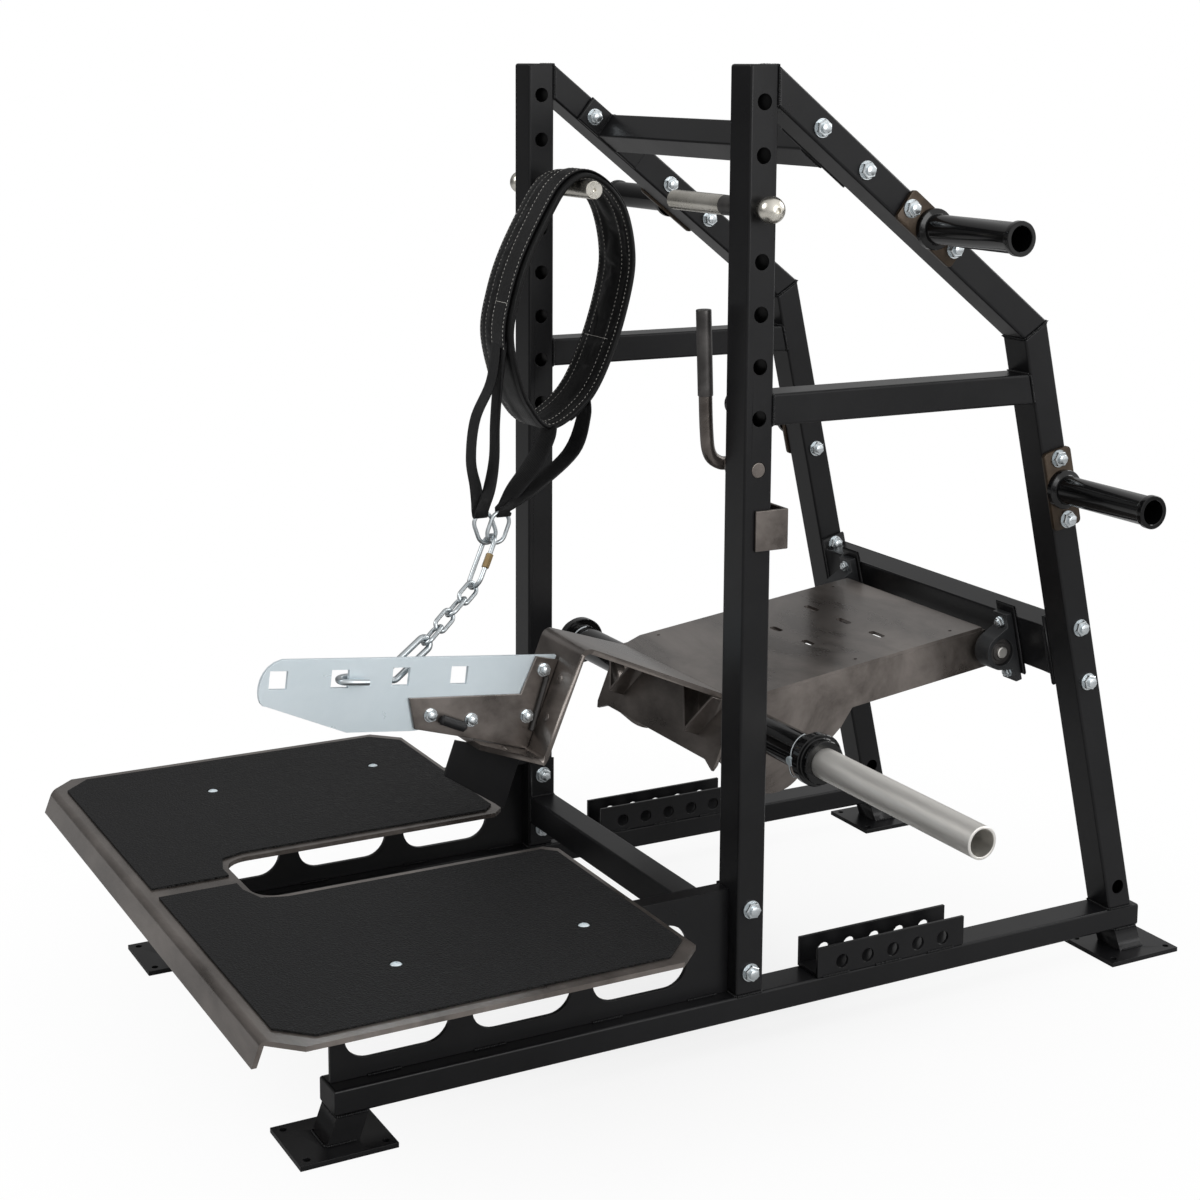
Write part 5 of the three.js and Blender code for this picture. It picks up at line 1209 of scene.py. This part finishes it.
BELT_RING_HALF, BELT_RING_WIRE = 0.017, 0.0035
FRONT_RING_TOP, REAR_RING_TOP = (-0.134, -0.2225, 0.792), (-0.126, -0.1825, 0.792)
BELT_RINGS = (("front", FRONT_RING_TOP, (-0.134, -0.2046, 0.7411)),
              ("rear", REAR_RING_TOP, (-0.126, -0.2021, 0.7417)))


def link_mesh(name, top, bottom, half_width, wire, plane, extra=()):
    return joined(name, [(wire_loop(top, bottom, half_width, wire, plane), chain_zinc), *extra])


def bends_with_chain(name, mesh, node):
    made = settle(name, mesh, None, None, "zinc_plate", node)
    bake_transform(made)


def belt_ring(name, top, foot):
    label = f"belt_ring_{name}_shape"
    mesh = link_mesh(label, top, foot, BELT_RING_HALF, BELT_RING_WIRE, (0, 1, 0))
    settle(label, mesh, None, "frame", "zinc_plate", f"belt_ring_{name}")


def quick_link():
    """A long link with a hexagonal nut that screws across its gap."""
    along = (QUICK_END - QUICK_TOP).normalized()
    nut_start = (QUICK_TOP + QUICK_END) / 2 + FLAT_PLANE * QUICK_HALF - along * NUT_LONG / 2
    barrel = rounded([(0, 0), (0, NUT_RADIUS), (NUT_LONG, NUT_RADIUS), (NUT_LONG, 0)])
    nut = spun(barrel, nut_start, along, HEX_SIDES)
    mesh = link_mesh("quick_link_shape", QUICK_TOP, QUICK_END, QUICK_HALF, QUICK_WIRE, FLAT_PLANE,
                     [(nut, brass)])
    bends_with_chain("quick_link_shape", mesh, "quick_link")


def chain_link(number):
    top = CHAIN_START + CHAIN_ALONG * LINK_PITCH * number
    name = f"chain_link_{number + 1}"
    mesh = link_mesh(name + "_shape", top, top + CHAIN_ALONG * LINK_LENGTH, LINK_HALF, LINK_WIRE,
                     FLAT_PLANE if number % 2 else CROSS_PLANE)
    bends_with_chain(name + "_shape", mesh, name)


for ring_row in BELT_RINGS:
    belt_ring(*ring_row)
quick_link()
for number in range(LINKS):
    chain_link(number)
print("rings, quick link and", LINKS, "chain links made")

# %% [markdown]
# The hook is a long eye with a bent wire welded into it. The wire goes through a hole of the
# tongue and comes back on the other side, so that the chain can't slip off while it is slack.
# %% Hook
EYE_END, EYE_HALF, EYE_WIRE, THROAT_WIRE = (-0.0163, -0.4408, 0.5617), 0.011, 0.0055, 0.0054
THROAT_POINTS = [(-0.017, -0.4385, 0.563), (-0.017, -0.4765, 0.568), (-0.016, -0.5145, 0.573),
                 (-0.009, -0.5305, 0.573), (0.009, -0.5305, 0.573), (0.016, -0.5145, 0.572),
                 (0.017, -0.4885, 0.569)]

eye = wire_loop(HOOK_EYE, EYE_END, EYE_HALF, EYE_WIRE, CROSS_PLANE)
throat = swept(smooth_line(THROAT_POINTS), round_section(THROAT_WIRE))
hook_mesh = joined("hook_shape", [(eye, chain_zinc), (throat, chain_zinc)])
settle("hook_shape", hook_mesh, None, "lever", "zinc_plate", "hook")
print("hook made")

# %% [markdown]
# Small things close the picture: domed zinc screws in the mats' holes, and on the lever's nose
# two plug welds, a rubber bumper and a thin bar beside it.
# %% Screws, plug welds and bumper
SCREW_X, SCREW_YS, SCREW_Z = 0.423, (-0.6125, -0.3085), 0.27
SCREW_RADIUS, SCREW_RISE, SCREW_HOLLOW = 0.0096, 0.0048, 0.2
PLUG_X, PLUG_SHARES = 34, (0.34, 0.68)          # of the way down the nose's middle flange
PLUG_RADIUS, PLUG_RISE, PLUG_HOLLOW = 0.0085, 0.0016, 0.3
BUMPER = ((18.5, -966, 72), (18.5, -924, 46), 0.0085)          # start, end, radius
STAY = ((14.5, -765, 93), (14.5, -806, 6), 0.0044)
ROD_ROUNDING = 0.4                                            # of the rod's radius
BUTTON_FOOT, DOME_DEGREES = -0.002, range(12, 61, 12)
DRIVE_FLOOR, DRIVE_TAPER = 0.3, 0.9


def button(place, facing, radius, rise, hollow):
    """A low domed head with a small drive hole in it."""
    dome = [(0, radius)] + [(rise * math.sin(turn), radius * math.cos(turn))
                            for turn in map(math.radians, DOME_DEGREES)]
    drive = rise * DRIVE_FLOOR
    dome += [(rise, radius * hollow), (drive, radius * hollow * DRIVE_TAPER), (drive, 0)]
    return spun([(BUTTON_FOOT, 0), (BUTTON_FOOT, radius)] + dome, place, facing, SMALL_ROUND_SIDES)


screws = [(button((side * SCREW_X, y, SCREW_Z), (0, 0, 1), SCREW_RADIUS, SCREW_RISE, SCREW_HOLLOW), zinc)
          for side in (-1.0, 1.0) for y in SCREW_YS]
settle("mat_screws", joined("mat_screws", screws), None, "frame", "zinc_plate")


def nose_face(x, share):
    """A place on the front face of the nose's middle flange, share of the way down."""
    (y0, z0), (y1, z1) = NOSE_LINE[1], NOSE_LINE[2]
    return on_lever(x, y0 + (y1 - y0) * share, z0 + (z1 - z0) * share)


flange_out = (on_lever(0, NOSE_LINE[2][1] - NOSE_LINE[1][1], NOSE_LINE[1][0] - NOSE_LINE[2][0])
              - on_lever(0, 0, 0)).normalized()
plugs = [(button(nose_face(PLUG_X, share), flange_out, PLUG_RADIUS, PLUG_RISE, PLUG_HOLLOW), raw_plate)
         for share in PLUG_SHARES]
settle("plug_welds", joined("plug_welds", plugs), None, "lever", "raw_plate")


def rod_on_lever(start, end, radius):
    """A round piece between two places of the lever's drawing, in millimetres."""
    start, end = on_lever(*start), on_lever(*end)
    long = (end - start).length
    profile = rounded([(0, 0), (0, radius), (long, radius), (long, 0)], radius * ROD_ROUNDING)
    return spun(profile, start, end - start, SMALL_ROUND_SIDES)


bumper_parts = [(rod_on_lever(*BUMPER), bumper_rubber), (rod_on_lever(*STAY), dark_edge)]
settle("nose_bumper", joined("nose_bumper", bumper_parts), None, "lever", "rubber_mat")
print(len(screws), "screws,", len(plugs), "plug welds and a bumper made")

# %% [markdown]
# The belt is a padded band that hangs folded over the hand peg. Its line is drawn once, seen from
# the side; a section across it gives thin bound edges, two stitch grooves and the padding between.
# %% Belt band
BAND_X = -0.23
BAND_LINE = [(-1.5, 1364), (39.5, 1346), (73.5, 1302), (90.5, 1232), (85.5, 1166), (54.5, 1064), (6.5, 974),
             (-66.5, 926), (-110.5, 966), (-132.5, 1020), (-145.5, 1090), (-133.5, 1158), (-110.5, 1224),
             (-70.5, 1300), (-38.5, 1346)]
HALF_SECTION = [(0.065, 0.0012), (0.0635, 0.0032), (0.061, 0.0042), (0.059, 0.0038), (0.056, 0.0047),
                (0.053, 0.0043), (0.049, 0.0056), (0.044, 0.0063), (0.038, 0.0066), (0.032, 0.0067),
                (0.026, 0.0068), (0.02, 0.0068), (0.013, 0.0069), (0.0065, 0.0069), (0.0, 0.0069)]
SEAM_PARTS = 14                     # how many steps the line takes between two of its points
CLOTH_SHADE = math.radians(60)
ACROSS = Vector((1, 0, 0))
band_path = smooth_line([(BAND_X, y / 1000, z / 1000) for y, z in BAND_LINE], SEAM_PARTS, closed=True)


def mapped_cloth(name, path, section, sides, closed=False):
    """Sweeps a section and lays a map on it: first along the line, then around the section."""
    form = swept(path, section, sides, closed)
    count = len(section)
    along, around = [0.0], [0.0]
    for i in range(len(path)):
        along.append(along[-1] + (path[(i + 1) % len(path)] - path[i]).length)
    for k in range(count):
        around.append(around[-1] + math.dist(section[k], section[(k + 1) % count]))
    layer = form.loops.layers.uv.new("strap_map")
    form.verts.index_update()
    for face in form.faces:
        rings = [loop.vert.index // count for loop in face.loops]
        spots = [loop.vert.index % count for loop in face.loops]
        for loop, ring, spot in zip(face.loops, rings, spots):
            ring += len(path) if ring == 0 and max(rings) == len(path) - 1 else 0
            spot += count if spot == 0 and max(spots) == count - 1 else 0
            loop[layer].uv = (along[ring], around[spot])
    mesh = bpy.data.meshes.new(name)
    form.to_mesh(mesh)
    form.free()
    shade(mesh, CLOTH_SHADE)
    return mesh


def band_section():
    """The whole section: the drawn half, its mirror image and both again on the inside."""
    outer = [(-a, -b) for a, b in HALF_SECTION] + [(a, -b) for a, b in HALF_SECTION[-2::-1]]
    inner = [(a, b) for a, b in HALF_SECTION] + [(-a, b) for a, b in HALF_SECTION[-2::-1]]
    return outer + inner


CLOTH_PRESSURE, CLOTH_FRAMES, CLOTH_CAP = 4.0, 20, 0.005
CLOTH_QUALITY, CLOTH_MASS, CLOTH_SHRINK = 5, 0.25, -0.02          # a shrink below zero lets it grow


def puffed(mesh, pinned):
    """Blows up the padding between its seams with a short cloth simulation, and caps its movement."""
    rest = [vert.co.copy() for vert in mesh.vertices]
    holder = bpy.data.objects.new("padding", mesh)
    scene = bpy.context.scene
    scene.collection.objects.link(holder)
    seams = holder.vertex_groups.new(name="seams")
    for i in range(len(rest)):
        seams.add([i], pinned(i), "REPLACE")
    cloth = holder.modifiers.new("cloth", "CLOTH")
    cloth.settings.vertex_group_mass = "seams"
    cloth.settings.quality = CLOTH_QUALITY
    cloth.settings.mass = CLOTH_MASS
    cloth.settings.shrink_min = CLOTH_SHRINK
    cloth.settings.use_pressure = True
    cloth.settings.uniform_pressure_force = CLOTH_PRESSURE
    cloth.settings.effector_weights.gravity = 0.0
    cloth.collision_settings.use_collision = False
    cloth.point_cache.frame_start, cloth.point_cache.frame_end = 1, CLOTH_FRAMES
    for number in range(1, CLOTH_FRAMES + 1):
        scene.frame_set(number)
    view = bpy.context.evaluated_depsgraph_get()
    done = bpy.data.meshes.new_from_object(holder.evaluated_get(view), preserve_all_data_layers=True,
                                           depsgraph=view)
    scene.frame_set(1)
    for vert, start in zip(done.vertices, rest):
        step = vert.co - start
        if step.length > CLOTH_CAP:
            vert.co = start + step.normalized() * CLOTH_CAP
    bpy.data.objects.remove(holder)
    return done


def subdivided(mesh):
    """The mesh after one round of subdivision."""
    holder = bpy.data.objects.new("holder", mesh)
    bpy.context.scene.collection.objects.link(holder)
    finer = holder.modifiers.new("finer", "SUBSURF")
    finer.levels = finer.render_levels = 1
    view = bpy.context.evaluated_depsgraph_get()
    done = bpy.data.meshes.new_from_object(holder.evaluated_get(view), preserve_all_data_layers=True,
                                           depsgraph=view)
    bpy.data.objects.remove(holder)
    shade(done, CLOTH_SHADE)
    return done


section = band_section()
SEWN = (-0.004, 0.054)              # where the outer strap is sewn on, across the band
BOUND_EDGE, GROOVE, GROOVE_NEAR = 0.05, 0.032, 0.001


def held(index):
    """How firmly the simulation holds a vertex: fully at the edges, the grooves and the sewn strap."""
    a, b = section[index % len(section)]
    at_edge, in_groove = abs(a) > BOUND_EDGE, abs(abs(a) - GROOVE) < GROOVE_NEAR
    under_strap = b < 0 and SEWN[0] < a < SEWN[1]
    return 1.0 if at_edge or in_groove or under_strap else 0.0


band = mapped_cloth("belt_band", band_path, section, [ACROSS] * len(band_path), closed=True)
band = puffed(band, held)
band = settle("belt_band", subdivided(band), band_cloth, "frame", "webbing", "belt")
print("band", len(band.data.polygons), "faces")

# %% [markdown]
# One strap, half again as wide as a strand, is sewn along the band's outside. At the front it
# leaves the band as two strands that meet in a ring, and two more come out from under the band
# to the second ring. Each pair is one strip that turns under its ring, as such a strap is sewn.
# %% Straps
STRAP_LIFT, STRAP_X = 0.0092, -0.205
SEWN_WIDER = 1.5                    # the sewn strap against a single strand
FRONT_SPLIT, REAR_END = 9.75, 6.6   # places along BAND_LINE, counted in its points
STRAND_STEPS, STRANDS_BACK = 7, 26.5          # the strands are drawn that many millimetres too far back
RING_TURN_RADIUS, RING_TURN_STEPS = 0.0058, 8
STRAP_SECTION = [(-0.018, -0.0009), (-0.0172, -0.0017), (-0.009, -0.0019), (0, -0.0019), (0.009, -0.0019),
                 (0.0172, -0.0017), (0.018, -0.0009), (0.018, 0.0009), (0.0172, 0.0017), (0.009, 0.0019),
                 (0, 0.0019), (-0.009, 0.0019), (-0.0172, 0.0017), (-0.018, 0.0009)]


def band_normals():
    """The band's outward direction at each place of its line."""
    count = len(band_path)
    return [ACROSS.cross((band_path[(i + 1) % count] - band_path[i - 1]).normalized())
            for i in range(count)]


outward = band_normals()


def on_band(index, a, lift):
    """A place a metres across the band from its line, and lift outside it."""
    index %= len(band_path)
    return band_path[index] + Vector((a, 0, 0)) + outward[index] * lift


sewn_range = range(int(FRONT_SPLIT * SEAM_PARTS), int((REAR_END + len(BAND_LINE)) * SEAM_PARTS))
sewn_line = [on_band(i, STRAP_X - BAND_X, STRAP_LIFT) for i in sewn_range]


def strand_line(points):
    return smooth_line([(x / 1000, (y - STRANDS_BACK) / 1000, z / 1000) for x, y, z in points], STRAND_STEPS)


def strand_widths(spread, path_points):
    """Which way the strand is wide at each place of its path; past the spread it stays the same."""
    wide = smooth_line([(*pair, 0.0) for pair in spread], STRAND_STEPS)
    return wide + [wide[-1]] * (path_points - len(wide))


def ring_turn(x, y, z):
    """The half turn of the strap under a ring."""
    return [Vector((x - RING_TURN_RADIUS * math.cos(turn), y, z - RING_TURN_RADIUS * math.sin(turn)))
            for turn in (math.pi * i / RING_TURN_STEPS for i in range(RING_TURN_STEPS + 1))]


def strand_pair(name, first, second, first_widths, second_widths, ring):
    """A strap that comes down, turns under its ring and goes up again beside itself."""
    down, turn, up = strand_line(first), ring_turn(*ring), strand_line(second)
    widths = (strand_widths(first_widths, len(down)) + [Vector((*first_widths[-1], 0))] * len(turn)
              + strand_widths(second_widths, len(up))[::-1])
    return mapped_cloth(name, down + turn + up[::-1], STRAP_SECTION, widths)


FRONT_WIDTHS = ((1, 0), (1, 0), (1, 0), (0.95, 0.05), (0.6, 0.35), (0, 0.7))
WIDE_REAR_WIDTHS = ((1.5, 0), (1.5, 0.1), (1.3, 0.4), (0.8, 0.65), (0, 0.7))
REAR_WIDTHS = ((1.2, 0), (1.2, 0.1), (1, 0.4), (0.7, 0.65), (0, 0.7))
front_strands = strand_pair(
    "front_strands",
    [(-216, -125.5, 1080), (-202, -143, 1010), (-181, -183, 949), (-160, -201, 883), (-147, -198, 835),
     (-141.8, -196, 798)],
    [(-197, -123, 1080), (-197, -133, 1000), (-176, -148, 940), (-150, -162, 883), (-131, -180, 835),
     (-126.2, -196, 798)], FRONT_WIDTHS, FRONT_WIDTHS, FRONT_RING_TOP)
rear_strands = strand_pair(
    "rear_strands",
    [(-178, -42, 926), (-172, -52, 905), (-158, -84, 865), (-142, -126, 828), (-133.8, -156, 798)],
    [(-190, 33, 974), (-186, 30, 938), (-170, -4, 878), (-134, -100, 826), (-118.2, -156, 798)],
    WIDE_REAR_WIDTHS, REAR_WIDTHS, REAR_RING_TOP)
sewn = mapped_cloth("sewn_strap", sewn_line, [(a * SEWN_WIDER, b) for a, b in STRAP_SECTION],
                    [ACROSS] * len(sewn_line))
for name, mesh in (("belt_strap", sewn), ("belt_front_strands", front_strands),
                   ("belt_rear_strands", rear_strands)):
    settle(name, mesh, strap_webbing, "frame", "webbing", "belt")
    print(name, "made with", len(mesh.polygons), "faces")

# %% [markdown]
# Off-white thread shows along both edges of the band, along the strap and as dense bar tacks.
# The tree sets one stitch at every step of a drawn line, turned along it.
# %% Stitch tree
STITCH = {"Length": 0.0042, "Step": 0.0076, "Thickness": 0.0009}
TACK = {"Step": 0.0024, "Length": 0.003}
WHOLE_BEAD = {"Segments": 6, "Rings": 4, "Radius": 0.5}          # one across, to be scaled to a stitch
BAND_SEAMS = ((0.056, 0.0049), (0.032, 0.0069))                  # across the band, and out from its line
STRAP_SEAM, THREAD_LIFT = 0.0225, 0.0021
OUTSIDE_TACK, INSIDE_TACK = 10.85, 4.95                          # places along BAND_LINE
INSIDE_TACK_HALF, INSIDE_TACK_LIFT = 0.043, 0.0072


def stitch_tree():
    tree, given = new_tree("stitches", STITCH)
    line = add(tree, "GeometryNodeMeshToCurve", {"Mesh": given["Geometry"]}).outputs[0]
    steps = add(tree, "GeometryNodeCurveToPoints", {"Curve": line, "Length": given["Step"]}, mode="LENGTH")
    bead = add(tree, "GeometryNodeMeshUVSphere", WHOLE_BEAD).outputs[0]
    size = add(tree, "ShaderNodeCombineXYZ", {"X": given["Thickness"], "Y": given["Thickness"],
                                              "Z": given["Length"]}).outputs[0]
    stitch = add(tree, "GeometryNodeTransform", {"Geometry": bead, "Scale": size}).outputs[0]
    placed = add(tree, "GeometryNodeInstanceOnPoints", {
        "Points": steps.outputs["Points"], "Instance": stitch, "Rotation": steps.outputs["Rotation"]})
    return close_tree(tree, placed.outputs[0], thread)


def seam_lines():
    """The lines along the band's two grooves and edges, and along both edges of the sewn strap."""
    whole = range(len(band_path) + 1)
    strap = STRAP_X - BAND_X
    lines = []
    for a, lift in BAND_SEAMS:
        lines += [[on_band(i, sign * a, -lift) for i in whole] for sign in (-1, 1)]
        lines.append([on_band(i, -a, lift) for i in whole])
    lines += [[on_band(i, strap + a, STRAP_LIFT + THREAD_LIFT) for i in sewn_range]
              for a in (-STRAP_SEAM, STRAP_SEAM)]
    return lines


def bar_tacks():
    """A dense row across the strap outside, and one across the band inside."""
    strap, outside, inside = STRAP_X - BAND_X, int(OUTSIDE_TACK * SEAM_PARTS), int(INSIDE_TACK * SEAM_PARTS)
    return [[on_band(outside, strap + a, STRAP_LIFT + THREAD_LIFT) for a in (-STRAP_SEAM, STRAP_SEAM)],
            [on_band(inside, a, -INSIDE_TACK_LIFT) for a in (-INSIDE_TACK_HALF, INSIDE_TACK_HALF)]]


threads = stitch_tree()
settle("belt_stitches", grow("belt_stitches", lines_mesh(seam_lines()), threads), None, "frame", "webbing")
settle("belt_tacks", grow("belt_tacks", lines_mesh(bar_tacks()), threads, **TACK), None, "frame", "webbing")
print("belt sewn with", len(seam_lines()), "seams and", len(bar_tacks()), "tacks")

# %% [markdown]
# Any solid that has no copy of its own keeps its shape and gets the finish of its slot.
# %% What is left of the solids
SLOT_FINISH = {"frame_coat": powder_coat, "horn_coat": horn_gloss, "raw_plate": raw_plate,
               "rubber_mat": mat_rubber, "zinc_plate": zinc, "bright_steel": turned_steel,
               "bearing_housing": cast_paint, "webbing": band_cloth}
for name, node in frame["nodes"].items():
    node.data.materials.clear()
    node.data.materials.append(SLOT_FINISH[SLOTS[name]])
print("shown as packed:", [name for name, node in frame["nodes"].items() if not node.hide_render])
